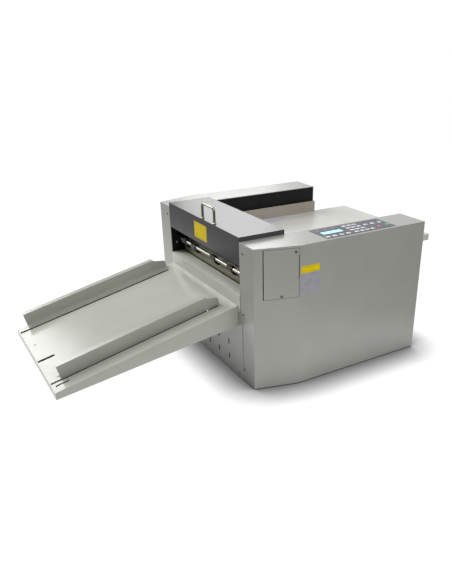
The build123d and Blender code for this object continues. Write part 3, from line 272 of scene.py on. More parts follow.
ground_steel = machined("ground_steel", "B9BABB", "8F9091")
blade_steel = machined("hardened_blade_steel", "A8A9AB", "7B7C7E", 0.22, "x")
zinc_sheet = machined("zinc_plated_sheet", "B7B9BA", "9EA0A2", 0.38, "x", 1.2, 0.005)
sintered_bronze = machined("sintered_bronze", "B6925A", "8F6E3C", 0.42, "y", 0.6)
folded_aluminium = machined("folded_aluminium", "B4B6B8", "9A9C9E", 0.34, "x")
gear_steel = machined("phosphated_gear_steel", "6E6F70", "525354", 0.40, "y")
screw_steel = machined("plated_screw_steel", "8E8A84", "6A665F", 0.26, "z")
bright_screw = machined("bright_zinc_screw", "E4E5E6", "C9CACB", 0.2, "z")
finger_bar = machined("ground_finger_bar", "BDBAAE", "AFAC9F", 0.30, "y", 0.8, 0.0006)
handle_nickel = machined("satin_nickel_handle", "A9A496", "8A8578", 0.24, "y", 0.5, 0.003)
print("metals made")


# %% [markdown]
# ## Rubber, nylon and other plastics
# The feed rollers are ground rubber with a dull, dusty face. The fingers, wheels and switch are black
# moulded nylon, a little shinier and nearly smooth, and the holders are dark moulded blocks. Labels, the
# key panel and its keys are thin printed foils: even colours with a weak, broad gloss. One recipe serves
# them all, because only the colour, the gloss and the width of the grain differ.

# %% Plastics and rubber
flow_mm = 18


def moulded(name, light, dark, roughness=0.4, grain_mm=0.7, lift_mm=0.01, gloss=0.5):
    """Moulded plastic or rubber with a fine skin."""
    material, tree, shader, spots = new_finish(name, IOR=1.5, Roughness=roughness)
    shader.inputs["Specular IOR Level"].default_value = gloss
    skin = add_node(tree, "ShaderNodeTexNoise", {"Scale": 1 / (grain_mm * MM), "Detail": 3.0},
                    {"Vector": spots})
    flow = add_node(tree, "ShaderNodeTexNoise", {"Scale": 1 / (flow_mm * MM), "Detail": 2.0},
                    {"Vector": spots})
    bump = add_node(tree, "ShaderNodeBump", {"Strength": 0.5, "Distance": lift_mm * MM},
                    {"Height": skin.outputs["Fac"]})
    tree.links.new(between(tree, flow.outputs["Fac"], dark, light), shader.inputs["Base Color"])
    tree.links.new(bump.outputs["Normal"], shader.inputs["Normal"])
    return material


roller_rubber = moulded("ground_roller_rubber", "2B2B2C", "1E1E1F", 0.75, 0.5, 0.03)
foot_rubber = moulded("foot_rubber", "242425", "1A1A1B", 0.7, 0.8, 0.02)
black_nylon = moulded("black_nylon", "1D1D1E", "131314", 0.36)
holder_plastic = moulded("dark_holder_block", "56524F", "47433F", 0.36)
key_plastic = moulded("key_foil", "E4E6EA", "DADCE1", 0.35, 0.5, 0.004)
stop_plastic = moulded("stop_key_foil", "DA1E50", "C91445", 0.35, 0.5, 0.004)
start_plastic = moulded("start_key_foil", "0C9A76", "018461", 0.35, 0.5, 0.004)
digit_ink = moulded("digit_ink", "3A3D45", "2E3138", 0.5)
label_film = moulded("yellow_label_film", "E2C904", "D8BD00", 0.5, 0.6, 0.004, 0.2)
label_rim_ink = moulded("label_rim_ink", "8C7C12", "7D6E0E", 0.45)
grey_film = moulded("lilac_grey_film", "A09FA6", "95949B", 0.4, 0.6, 0.004)
pale_film = moulded("pale_lavender_film", "C9C9D8", "BEBECD", 0.4, 0.6, 0.004)
panel_foil = moulded("panel_foil", "5C5F68", "52555E", 0.36, 0.4, 0.006, 0.2)
panel_dark_foil = moulded("panel_dark_foil", "444852", "3B3F49", 0.36, 0.4, 0.006, 0.35)
grey_ink = moulded("grey_border_ink", "7E7D86", "74737C", 0.45)
display_cell = moulded("display_cell", "9CD3E4", "94CBDC", 0.2, 0.5, 0.002)
circuit_green = moulded("circuit_board", "2B6B48", "1C5236", 0.3, 0.9, 0.02)
print("plastics, rubbers, foils and inks made")

# %% [markdown]
# ## The display
# A two-line character display glows through its window. A real one is a pale blue-green backlight under
# a glossy polycarbonate sheet. A lamp behind clear plastic could stand for it, but would be slow and noisy
# to render, so the window itself gets a weak emission and a low roughness.

# %% Display window
backlight_patch_mm = 25
display_glow, tree, shader, spots = new_finish("backlit_display", IOR=1.58, Roughness=0.12)
patches = add_node(tree, "ShaderNodeTexNoise", {"Scale": 1 / (backlight_patch_mm * MM), "Detail": 1.0},
                   {"Vector": spots})
light_blue = between(tree, patches.outputs["Fac"], "A5DFF0", "B9ECF8")
tree.links.new(light_blue, shader.inputs["Base Color"])
tree.links.new(light_blue, shader.inputs["Emission Color"])
shader.inputs["Emission Strength"].default_value = 0.7
print("materials in all:", len(bpy.data.materials))

# %% [markdown]
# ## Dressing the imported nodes
# Folded sheet never has a razor edge: the outside of a fold is round by about the thickness of the sheet,
# and cut edges are deburred. Each edge could be picked and rounded by hand, but would be lost whenever the
# model is packed again. Modifiers do it every time: Weld joins the loose triangles' points, Decimate
# dissolves the flat triangles, and Bevel rounds what is left of the sharp edges by a real radius. Weighted
# normals then keep the large flats flat in the light.

# %% Finish and edge radius, in millimetres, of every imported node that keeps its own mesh
finish_of = {
    "near_housing": (housing_coat, 1.6), "far_housing": (housing_coat, 1.6),
    "service_door": (housing_coat, 0.8), "end_panel": (housing_coat, 0.5),
    "rear_panel": (housing_coat, 0.5), "delivery_shelf": (shelf_coat_with_painted_light, 1.0),
    "delivery_tray": (tray_coat, 0.7), "near_tray_guide": (guide_coat, 0.5),
    "far_tray_guide": (guide_coat, 0.5), "feed_fence": (fence_coat, 0.5),
    "top_cover": (cover_coat, 1.4), "feed_table": (table_coat_with_painted_light, 0.6),
    "table_extension": (table_coat_with_painted_light, 0.6), "feed_guard": (table_coat_with_painted_light, 0.4),
    "near_side_frame": (frame_black, 0.4), "far_side_frame": (frame_black, 0.4),
    # The tray bottom's matt black is painted shade: it darkens what shows through the tray's slots.
    "tray_bottom": (frame_black, 0.2), "delivery_chute": (chute_coat, 0.4),
    "base_plate": (zinc_sheet, 0.4), "table_rails": (zinc_sheet, 0.4),
    "crease_anvil": (ground_steel, 0.5), "crease_beam": (ground_steel, 0.6),
    "crease_yokes": (ground_steel, 0.4), "crease_blade": (blade_steel, 0.2),
    "crease_guide_pins": (ground_steel, 0.4), "cam_shaft": (ground_steel, 0.4),
    "feed_shaft": (ground_steel, 0.3), "feed_pressure_shaft": (ground_steel, 0.3),
    "exit_shaft": (ground_steel, 0.3), "perforating_shaft": (ground_steel, 0.3),
    "finger_shaft": (finger_bar, 0.4), "hinge_pins": (screw_steel, 0.3),
    "feed_gear": (gear_steel, 0.2), "exit_gear": (gear_steel, 0.2),
    "idler_gear": (gear_steel, 0.2), "drive_pinion": (gear_steel, 0.2),
    "shaft_bushes": (sintered_bronze, 0.2), "power_supply": (folded_aluminium, 0.8),
    "drive_motor": (motor_black, 0.8), "crease_motor": (motor_black, 0.8),
    "power_inlet": (black_nylon, 0.4), "power_switch": (black_nylon, 0.3),
    "control_board": (circuit_green, 0.2), "control_overlay": (panel_foil, 0.2),
    "display_window": (display_glow, 0.2),
}
same_point_mm = 0.002
flat_angle, sharp_angle = math.radians(0.5), math.radians(34)


def dress(name, material, radius_mm):
    """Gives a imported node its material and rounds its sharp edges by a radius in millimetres."""
    obj = nodes[name]
    obj.data.materials.clear()
    obj.data.materials.append(material)
    weld = obj.modifiers.new("join_points", "WELD")
    weld.merge_threshold = same_point_mm * MM
    flat = obj.modifiers.new("dissolve_flats", "DECIMATE")
    flat.decimate_type = "DISSOLVE"
    flat.angle_limit = flat_angle
    edge = obj.modifiers.new("round_edges", "BEVEL")
    edge.width = radius_mm * MM
    edge.segments = 2
    edge.limit_method = "ANGLE"
    edge.angle_limit = sharp_angle
    edge.use_clamp_overlap = True
    steady = obj.modifiers.new("steady_normals", "WEIGHTED_NORMAL")
    steady.mode = "FACE_AREA"
    steady.weight = 100
    obj.data.shade_smooth()


for name, (material, radius_mm) in finish_of.items():
    dress(name, material, radius_mm)
print("dressed nodes:", len(finish_of), "left:", sorted(set(nodes) - set(finish_of)))

# %% [markdown]
# ## New pieces from formulas
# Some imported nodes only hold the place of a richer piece: a turned screw, a ground rubber roller, a
# moulded finger. They could be pushed and pulled out of cubes by hand, but a formula can be read, measured
# and changed. So each of them is a surface: a formula of two parameters worked out on a whole grid at
# once. A few helpers serve them all. One joins neighbouring points of a grid into faces, and two more put
# surfaces together or repeat them. Another one makes the mesh, closes its seams, turns its faces outwards
# and lets it ride on its body.

# %% From a grid of points to a piece
def grid_faces(rows, columns, ring_rows=False, ring_columns=True):
    """Faces between neighbours of a grid; a ring direction also joins its last points to its first."""
    index = np.arange(rows * columns).reshape(rows, columns)
    if ring_columns:
        index = np.concatenate([index, index[:, :1]], axis=1)
    if ring_rows:
        index = np.concatenate([index, index[:1]], axis=0)
    corners = [index[:-1, :-1], index[:-1, 1:], index[1:, 1:], index[1:, :-1]]
    return np.stack(corners, axis=-1).reshape(-1, 4)


def join(*surfaces):
    """Several (points, faces) surfaces as one; face numbers move on by the points before them."""
    counts = np.cumsum([0] + [len(points) for points, faces in surfaces])
    all_points = np.concatenate([points for points, faces in surfaces])
    all_faces = np.concatenate([faces + start for (points, faces), start in zip(surfaces, counts)])
    return all_points, all_faces


def copies(surface, shifts):
    """The same surface at several places: every point plus every shift."""
    points, faces = surface
    shifts = np.asarray(shifts, float)
    moved = (points[None] + shifts[:, None]).reshape(-1, 3)
    steps = np.arange(len(shifts))[:, None, None] * len(points)
    return moved, (faces[None] + steps).reshape(-1, 4)


def make_piece(name, surface, material, body, stands_for=(), crease=40):
    """Closed mesh of a surface in machine millimetres, with sharp edges above the crease angle."""
    points, faces = surface
    mesh = bpy.data.meshes.new(name)
    mesh.from_pydata(place(points).tolist(), [], faces.tolist())
    work = bmesh.new()
    work.from_mesh(mesh)
    bmesh.ops.remove_doubles(work, verts=work.verts, dist=0.001 * MM)
    bmesh.ops.recalc_face_normals(work, faces=work.faces)
    work.to_mesh(mesh)
    work.free()
    mesh.shade_smooth()
    mesh.set_sharp_from_angle(angle=math.radians(crease))
    mesh.materials.append(material)
    piece = bpy.data.objects.new(name, mesh)
    bpy.context.scene.collection.objects.link(piece)
    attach(piece, body)
    if stands_for:
        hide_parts(*stands_for)
    print(name, "faces:", len(mesh.polygons))


# %% [markdown]
# ## Outlines and directions
# A few directions of the machine get a name. Three small tools come back again and again: the four
# corners of a rectangle, a soft corner in the place of a sharp one, and a pair of directions square to an
# axis, in which a circle can be drawn about it.

# %% Rectangles, rounded corners and square directions
along_x, across, upwards, towards_near = (1, 0, 0), (0, 1, 0), (0, 0, 1), (0, -1, 0)


def rectangle(half_u, half_v):
    """Four corners of a rectangle about the origin, from half its sides."""
    return [(-half_u, -half_v), (half_u, -half_v), (half_u, half_v), (-half_u, half_v)]


def rounded(corners, radius, steps=5):
    """Outline with rounded corners. With a and b at the radius before and after a corner, the curve is
    (1-t)^2 a + 2t(1-t) corner + t^2 b for t from 0 to 1."""
    corners = np.asarray(corners, float)
    radius = np.broadcast_to(np.asarray(radius, float), len(corners))[:, None]
    before = np.roll(corners, 1, axis=0) - corners
    after = np.roll(corners, -1, axis=0) - corners
    a = corners + radius * before / np.linalg.norm(before, axis=1, keepdims=True)
    b = corners + radius * after / np.linalg.norm(after, axis=1, keepdims=True)
    t = np.linspace(0, 1, steps)[:, None, None]
    curve = (1 - t) ** 2 * a + 2 * t * (1 - t) * corners + t ** 2 * b
    return curve.transpose(1, 0, 2).reshape(-1, corners.shape[1])


def square_to(axis):
    """Unit vector along an axis, and two more that are square to it and to each other."""
    axis = np.asarray(axis, float) / np.linalg.norm(axis)
    helper = np.array([0.0, 0.0, 1.0]) if abs(axis[2]) < 0.9 else np.array([1.0, 0.0, 0.0])
    u = np.cross(axis, helper)
    u /= np.linalg.norm(u)
    return axis, u, np.cross(axis, u)


# %% [markdown]
# ## Turned pieces
# Rollers, wheels, feet and set screws all come off a lathe or out of a round mould, so one function turns
# a profile about an axis. Blender's Spin tool could do it too, but here a ripple can also change the rings
# with the angle, which gives teeth to a wheel.

# %% Turn a profile about an axis
def turned(profile, centre, axis, sides=48, ripple=None):
    """Surface of revolution: a profile point (radius r, height h) becomes the ring
    centre + h axis + r (cos a u + sin a v), with u and v square to the axis. A ripple is a function of
    r and a that takes the place of r."""
    profile = np.asarray(profile, float)
    axis, u, v = square_to(axis)
    angle = np.linspace(0, 2 * np.pi, sides, endpoint=False)
    radius, height = np.broadcast_arrays(profile[:, :1], angle[None])[0], profile[:, 1:]
    radius = radius if ripple is None else ripple(radius, angle[None])
    turn = np.cos(angle)[None, :, None] * u + np.sin(angle)[None, :, None] * v
    points = np.asarray(centre, float) + height[..., None] * axis + radius[..., None] * turn
    return points.reshape(-1, 3), grid_faces(len(profile), sides)


# %% [markdown]
# ## Rubber rollers
# A driven roller is a rubber sleeve ground to size on its shaft. Its face is very slightly crowned and
# its edges are broken, so that it doesn't mark the card, and shallow grooves shed paper dust. A bump map
# wouldn't change the roller's outline, so all of this is in the profile that is turned.

# %% Feed and exit rollers
def roller_profile(outer, bore, length, crown=0.25, groove=0.35, chamfer=0.6, shoulder=0.9):
    """Closed profile of a sleeve: outside radius = outer - crown (2h/length)^2 - groove
    sin^16(3 pi h / length), with its edges broken by half a millimetre."""
    height = np.linspace(chamfer - length / 2, length / 2 - chamfer, 61)
    face = outer - crown * (2 * height / length) ** 2 - groove * np.sin(3 * np.pi * height / length) ** 16
    skin = np.stack([face, height], axis=1)
    low = [[bore, -length / 2], [outer - shoulder, -length / 2]]
    high = [[outer - shoulder, length / 2], [bore, length / 2]]
    return np.concatenate([low, skin, high, low[:1]])


def along_shaft(surface, ys):
    """The same surface at several places across the machine."""
    return copies(surface, [(0, y, 0) for y in ys])


shaft_radius, roller_length = 5, 24
feed_low, feed_high = node_box("feed_rollers")
exit_low, exit_high = node_box("exit_rollers")
feed_x, feed_z = (feed_low[0] + feed_high[0]) / 2, (feed_low[2] + feed_high[2]) / 2
exit_x, exit_z = (exit_low[0] + exit_high[0]) / 2, (exit_low[2] + exit_high[2]) / 2
feed_radius, exit_radius = feed_x - feed_low[0], exit_x - exit_low[0]
feed_ys = np.linspace(feed_low[1] + roller_length / 2, feed_high[1] - roller_length / 2, 3)
exit_ys = np.linspace(exit_low[1] + roller_length / 2, exit_high[1] - roller_length / 2, 5)
feed_sleeve = turned(roller_profile(feed_radius, shaft_radius, roller_length), (feed_x, 0, feed_z), across)
exit_sleeve = turned(roller_profile(exit_radius, shaft_radius, roller_length), (exit_x, 0, exit_z), across)
make_piece("feed_roller_sleeves", along_shaft(feed_sleeve, feed_ys), roller_rubber, "feed_roll",
           ["feed_rollers"])
make_piece("exit_roller_sleeves", along_shaft(exit_sleeve, exit_ys), roller_rubber, "exit_roll",
           ["exit_rollers"])

# %% [markdown]
# ## Pressure wheels and perforating wheels
# The wheels above the rollers are moulded, with a rim, a thin web and a hub. Perforating wheels are thin
# hardened discs, whose edge is ground into fine teeth that punch the line of holes. Teeth could be cut one
# by one, but a ripple of the outermost rings gives them all at once and all alike.

# %% Moulded wheels
def wheel_profile(outer, bore, length, wall=1.8, corner=0.35):
    """Closed profile of a moulded wheel: hub, thin web and rim, its corners rounded."""
    half, web = length / 2, length / 5
    hub, rim = bore + wall, outer - wall
    corners = [(bore, -half), (hub, -half), (hub, -web), (rim, -web), (rim, -half), (outer, -half),
               (outer, half), (rim, half), (rim, web), (hub, web), (hub, half), (bore, half)]
    profile = rounded(corners, corner, 3)
    return np.concatenate([profile, profile[:1]])


wheel_length = 14
exit_wheel_radius, feed_wheel_radius = 11, 9.5
exit_wheel_z = sum(node_box("perforating_shaft"))[2] / 2
feed_wheel_z = sum(node_box("feed_pressure_shaft"))[2] / 2
exit_wheel = turned(wheel_profile(exit_wheel_radius, shaft_radius, wheel_length),
                    (exit_x, 0, exit_wheel_z), across)
feed_wheel = turned(wheel_profile(feed_wheel_radius, shaft_radius, wheel_length),
                    (feed_x, 0, feed_wheel_z), across)
make_piece("exit_wheels", along_shaft(exit_wheel, exit_ys), black_nylon, "perforating_roll",
           ["exit_pressure_wheels"])
make_piece("feed_wheels", along_shaft(feed_wheel, feed_ys), black_nylon, "feed_pressure_roll",
           ["feed_pressure_wheels"])

# %% Toothed discs
tooth_count, tooth_depth, tooth_foot = 72, 0.9, 11.5
disc_half, disc_edge_half, disc_radius, bevel_foot = 0.6, 0.15, 12.4, 11.2
disc_hub_radius, disc_hub_length = 8, 10


def disc_teeth(radius, angle):
    """The outermost rings of a disc drop between n teeth of depth d: r - d sin^2(n a / 2)."""
    return radius - np.where(radius > tooth_foot, tooth_depth * np.sin(tooth_count / 2 * angle) ** 2, 0.0)


disc_low, disc_high = node_box("perforating_wheels")
disc_profile = [(shaft_radius, -disc_half), (bevel_foot, -disc_half), (disc_radius, -disc_edge_half),
                (disc_radius, disc_edge_half), (bevel_foot, disc_half), (disc_hub_radius, disc_half),
                (disc_hub_radius, disc_hub_length - disc_half), (disc_hub_radius - 0.6, disc_hub_length),
                (shaft_radius, disc_hub_length), (shaft_radius, -disc_half)]
toothed = turned(disc_profile, (exit_x, 0, exit_wheel_z), across, 4 * tooth_count, disc_teeth)
disc_ys = (disc_low[1] + disc_half, disc_high[1] - disc_hub_length)
make_piece("toothed_discs", along_shaft(toothed, disc_ys), blade_steel, "perforating_roll",
           ["perforating_wheels"], 30)

# %% [markdown]
# ## Screws
# The panels are held by pan-head screws with a cross recess. The head is a surface over a disc: a low
# dome, from which the recess is taken away where a point lies near one of two crossing lines and not too
# far from the middle. A Boolean could cut the cross, but leaves ragged faces on so small a dome.

# %% Pan-head screws with a cross recess
def screw_head(centre, axis, radius, height, turn=0.4):
    """Head over a disc of radius R: h = height (1 - (r/R)^4)^(1/2) minus a cross whose arms are
    0.14 R wide each side and 0.6 R long. The rim closes on a flat underside."""
    arm_width, arm_length, recess = 0.14, 0.6, 0.62
    soft_side, soft_end = 0.05, 0.12
    share = np.concatenate([np.linspace(0, 0.72, 19), np.linspace(0.75, 1, 8)])[:, None]
    angle = np.linspace(0, 2 * np.pi, 64, endpoint=False)[None]
    x, y = share * np.cos(angle), share * np.sin(angle)
    arm = np.minimum(np.abs(x), np.abs(y))
    reach = np.maximum(np.abs(x), np.abs(y))
    inside = np.clip((arm_width - arm) / soft_side, 0, 1) * np.clip((arm_length - reach) / soft_end, 0, 1)
    rise = height * np.sqrt(np.clip(1 - share ** 4, 0, 1)) - recess * height * inside
    axis, u, v = square_to(axis)
    x, y = x * np.cos(turn) - y * np.sin(turn), x * np.sin(turn) + y * np.cos(turn)
    base = radius * (x[..., None] * u + y[..., None] * v)
    top = rise[..., None] * axis + base
    rows = np.concatenate([top, base[::-1]]) + np.asarray(centre, float)
    return rows.reshape(-1, 3), grid_faces(len(rows), 64)


head_radius, head_height = 3.6, 1.8
end_screw_heights, end_screw_margin = (39, 206, 373), 18
sill_height, sill_margin = 18, 8
end_panel_face = node_box("end_panel")[0][0]
end_spots = [(0, y, z) for z in end_screw_heights
             for y in (-end_screw_margin, inner_width + end_screw_margin)]
sill_spots = [(end_panel_face, y, sill_height)
              for y in (sill_margin, inner_width / 2, inner_width - sill_margin)]
head_turns = [*np.linspace(0.1, 1.5, 13)[:len(end_spots)], 0.2, 0.9, 1.3]
heads = [screw_head(spot, (-1, 0, 0), head_radius, head_height, turn)
         for spot, turn in zip(end_spots + sill_spots, head_turns)]
make_piece("panel_screw_heads", join(*heads), screw_steel, "machine", ["panel_screws"])
frame_screw_x, frame_screw_z = 18.7, 283
frame_heads = [screw_head((frame_screw_x, y, frame_screw_z), (0, way, 0), head_radius, head_height)
               for y, way in ((0, 1), (inner_width, -1))]
make_piece("frame_screw_heads", join(*frame_heads), bright_screw, "machine")

# %% Screws of the door, on the slanted facet
housing_face, facet_start_y, facet_run = -104, -70, 120
facet_angle = math.atan2(facet_start_y - housing_face, facet_run)
facet_along = np.array([math.cos(facet_angle), -math.sin(facet_angle), 0])
facet_out = np.array([-math.sin(facet_angle), -math.cos(facet_angle), 0])


def on_facet(along, height, out=0.0):
    """Place on the near housing's slanted facet, measured along it from the end face."""
    return np.array([0.0, facet_start_y, height]) + along * facet_along + out * facet_out


door_head_radius, door_head_height = 3.8, 1.2
low_door_screw, high_door_screw = on_facet(75, 266), on_facet(112, 383)
door_heads = [screw_head(low_door_screw, facet_out, door_head_radius, door_head_height, 0.3),
              screw_head(high_door_screw, facet_out, door_head_radius, door_head_height, 1.1)]
make_piece("door_screw_heads", join(*door_heads), screw_steel, "door", ["door_screws"])

# %% [markdown]
# ## Finger pull of the door
# The door has a notch in its free edge, and a strip spot-welded behind it gives the fingertip something
# to pull. A sheet strip has rounded corners and a thin deburred rim. A bevelled cube would do for one
# strip, but the labels below need the same form in other directions, so it is a function.

# %% Strip behind the notch
def film(size_u, size_v, thickness, corner, centre, u, v):
    """Thin film over a rounded rectangle: rings from the middle to the edge and back below, the edge
    falling away over a tenth of a millimetre."""
    fall, least_corner = 0.1, 0.05
    u, v = np.asarray(u, float), np.asarray(v, float)
    out = np.cross(u, v)
    outlines = [rounded(rectangle(size_u / 2 - inset, size_v / 2 - inset), max(corner - inset, least_corner))
                for inset in (fall, 0)]
    middle = 0 * outlines[0]
    rings = [(middle, thickness), (outlines[0], thickness), (outlines[1], thickness / 2), (outlines[1], 0),
             (middle, 0)]
    rows = np.stack([flat[:, :1] * u + flat[:, 1:] * v + height * out for flat, height in rings])
    points = rows + np.asarray(centre, float)
    return points.reshape(-1, 3), grid_faces(len(rings), len(middle))


strip_width, strip_length, strip_sheet, strip_corner = 6.4, 66, 0.8, 0.6
strip_middle = on_facet(118.2, 342.5, -2.85)
pull_strip = film(strip_width, strip_length, strip_sheet, strip_corner, strip_middle, facet_along, upwards)
make_piece("door_pull_strip", pull_strip, housing_coat, "door")

# %% [markdown]
# ## Bow handle
# The cover lifts by a bent steel bow with a satin nickel plating. A bending tool leaves true arcs, so the
# path is three straight runs and two arcs. A bevelled curve would give an even tube, but the bow swells
# into a small collar where it is screwed to the cover from below. So the tube's radius is a function of
# the height above its ends.

# %% Bow handle
def sideways(line):
    """Unit directions square to a flat path: its step at each point, turned by a quarter."""
    step = np.gradient(line, axis=0)
    step /= np.linalg.norm(step, axis=1, keepdims=True)
    return np.stack([-step[:, 1], step[:, 0]], axis=1)


def handle_path(near_y, far_y, low_z, top_z, corner, steps=17):
    """Up, over and down in a plane: straight runs joined by quarter circles of the corner radius."""
    rise = np.linspace(low_z, top_z - corner, 25)
    bend = np.linspace(0, np.pi / 2, steps)[1:]
    up = np.stack([np.full_like(rise, near_y), rise], axis=1)
    first = np.stack([near_y + corner - corner * np.cos(bend), top_z - corner + corner * np.sin(bend)],
                     axis=1)
    half = np.concatenate([up, first])
    mirror = np.stack([near_y + far_y - half[::-1, 0], half[::-1, 1]], axis=1)
    return np.concatenate([half, mirror])


def bow(x, path, radius, collar_radius, collar_height, sides=28):
    """Tube along a path in a plane of constant x: at each path point the circle
    point + r (cos a aside + sin a x), with r = radius + (collar - radius) / (1 + (d / height)^8)
    and d the height above the path's lowest point. A tiny ring closes each end."""
    aside = sideways(path)
    height = path[:, 1] - path[:, 1].min()
    swell = radius + (collar_radius - radius) / (1 + (height / collar_height) ** 8)
    swell = np.concatenate([[tiny], swell, [tiny]])
    path = np.concatenate([path[:1], path, path[-1:]])
    aside = np.concatenate([aside[:1], aside, aside[-1:]])
    angle = np.linspace(0, 2 * np.pi, sides, endpoint=False)
    y = path[:, :1] + swell[:, None] * np.cos(angle) * aside[:, :1]
    z = path[:, 1:] + swell[:, None] * np.cos(angle) * aside[:, 1:]
    points = np.stack([x + swell[:, None] * np.sin(angle) + 0 * y, y, z], axis=-1)
    return points.reshape(-1, 3), grid_faces(len(path), sides)


tiny = 0.01
bow_radius, collar_radius, collar_height, bend_radius = 3.6, 6, 2.0, 10
handle_low, handle_high = node_box("cover_handle")
cover_top = node_box("top_cover")[1][2]
handle_line = handle_path(handle_low[1] + collar_radius, handle_high[1] - collar_radius, cover_top,
                          handle_high[2] - bow_radius, bend_radius)
bow_surface = bow((handle_low[0] + handle_high[0]) / 2, handle_line, bow_radius, collar_radius,
                  collar_height)
make_piece("bow_handle", bow_surface, handle_nickel, "cover", ["cover_handle"], 50)

# %% [markdown]
# ## Fingers and their holders
# Four moulded fingers press the leaving sheet onto the chute. Each has a ring round the shaft and an arm
# that bends down and ends in a toe. A flat plate of that outline would look sawn out, so the arm is a tube
# whose section is a rounded box, carried along a bent line and narrowing towards the toe. A block with a
# set screw holds each finger in place.

# %% Guide fingers
shaft_low, shaft_high = node_box("finger_shaft")
shaft_x, shaft_z = (shaft_low[0] + shaft_high[0]) / 2, (shaft_low[2] + shaft_high[2]) / 2
finger_ys = inner_width * np.array([0.209, 0.443, 0.730, 0.884])
finger_width, finger_bore, ring_radius = 9, 5.5, 8


def finger_arm(width, sides=32, root_half=6.5, toe_half=2.0):
    """Arm along the curve p(t) = (1-t)^3 a + 3t(1-t)^2 b + 3t^2(1-t) c + t^3 d, its half height
    (1-t) 6.5 + t 2 closing at the toe, and its section a superellipse of exponent 4."""
    t = np.linspace(0, 1, 40)[:, None]
    a, b = np.array([shaft_x - 0.5, shaft_z - 2]), np.array([shaft_x - 0.5, shaft_z - 13])
    c, d = np.array([shaft_x + 6, shaft_z - 19]), np.array([shaft_x + 16.3, shaft_z - 17.2])
    line = (1 - t) ** 3 * a + 3 * t * (1 - t) ** 2 * b + 3 * t ** 2 * (1 - t) * c + t ** 3 * d
    aside = sideways(line)
    t = t[:, 0]
    half = ((1 - t) * root_half + t * toe_half) * np.sqrt(np.clip(1 - t ** 24, 0, 1))
    thick = width / 2 * np.clip(1 - t ** 20, 0, 1) ** 0.5
    angle = np.linspace(0, 2 * np.pi, sides, endpoint=False)
    wave, lift = np.cos(angle), np.sin(angle)
    box_wave, box_lift = np.sign(wave) * np.abs(wave) ** 0.5, np.sign(lift) * np.abs(lift) ** 0.5
    x = line[:, :1] + half[:, None] * box_wave * aside[:, :1]
    z = line[:, 1:] + half[:, None] * box_wave * aside[:, 1:]
    y = thick[:, None] * box_lift + 0 * x
    points = np.stack([x, y, z], axis=-1)
    points = np.concatenate([points[:1].mean(axis=1, keepdims=True) + 0 * points[:1], points])
    return points.reshape(-1, 3), grid_faces(len(points), sides)


half_width = finger_width / 2
ring_profile = rounded([(finger_bore, -half_width), (ring_radius, -half_width), (ring_radius, half_width),
                        (finger_bore, half_width)], 0.7, 4)
ring = turned(np.concatenate([ring_profile, ring_profile[:1]]), (shaft_x, 0, shaft_z), across)
finger = join(ring, finger_arm(finger_width))
make_piece("moulded_fingers", along_shaft(finger, finger_ys), black_nylon, "machine", ["guide_fingers"], 35)


# %% Holders with set screws
def collar(outline, bore, profile):
    """Ring between a round bore and an outline, both (x, z) at the same angles: a profile point
    (share s, height h) becomes bore + s (outline - bore) at height h along the shaft."""
    profile = np.asarray(profile, float)
    share = profile[:, :1, None]
    flat = bore[None] + share * (outline - bore)[None]
    y = np.broadcast_to(profile[:, 1:2], flat.shape[:2])
    points = np.stack([flat[..., 0], y, flat[..., 1]], axis=-1)
    return points.reshape(-1, 3), grid_faces(len(profile), len(bore))


holder_half, holder_length, holder_edge = 7, 20, 0.7
set_screw_step = 8.5
angle = np.linspace(0, 2 * np.pi, 64, endpoint=False)
spokes = np.stack([np.cos(angle), np.sin(angle)], axis=1)
square = holder_half / (np.abs(spokes[:, 0]) ** 8 + np.abs(spokes[:, 1]) ** 8) ** 0.125
holder_outline = np.array([shaft_x, shaft_z]) + spokes * square[:, None]
holder_bore = np.array([shaft_x, shaft_z]) + spokes * finger_bore
holder_profile = [(0, 0), (0.6, 0), (1, holder_edge), (1, holder_length - holder_edge),
                  (0.6, holder_length), (0, holder_length), (0, 0)]
block = collar(holder_outline, holder_bore, holder_profile)
make_piece("holder_blocks", along_shaft(block, finger_ys + half_width), holder_plastic, "machine",
           ["finger_holders"], 35)
set_profile = [(tiny, 0), (1.1, 0), (1.1, 0.9), (1.5, 1.6), (2.3, 1.6), (2.6, 1.3), (2.6, -1), (tiny, -1)]
set_screw = turned(set_profile, (shaft_x, 0, shaft_z + holder_half), upwards, 24)
make_piece("set_screws", along_shaft(set_screw, finger_ys + set_screw_step), screw_steel, "machine")

# %% [markdown]
# ## Rubber feet
# The machine stands on four turned rubber feet with a rounded rim and a dished underside. Plain discs
# would look cut off at the floor, so one profile is turned about the vertical and set at four corners.

# %% Rubber feet
foot_radius = 15
foot_profile = [(tiny, 0.6), (9, 0.4), (12, 0), (13.6, 0), (14.6, 0.5), (foot_radius, 1.4), (14.8, 3),
                (4, 3), (4, 5), (tiny, 5)]
feet_low, feet_high = np.round(node_box("rubber_feet"))
foot_spots = [(x, y, 0) for x in (feet_low[0] + foot_radius, feet_high[0] - foot_radius)
              for y in (feet_low[1] + foot_radius, feet_high[1] - foot_radius)]
foot = turned(foot_profile, (0, 0, 0), upwards)
make_piece("turned_feet", copies(foot, foot_spots), foot_rubber, "machine", ["rubber_feet"])

# %% [markdown]
# ## Keys under the foil
# The control panel is one printed polyester foil. A metal dome lies under each key, and the foil is
# embossed over it, so every key is a low pillow with rounded corners. A cube with soft edges would look
# like a loose cap. The pillow is a surface over a rounded rectangle instead, and its height falls to
# nothing at the rim as (1 - s^4).

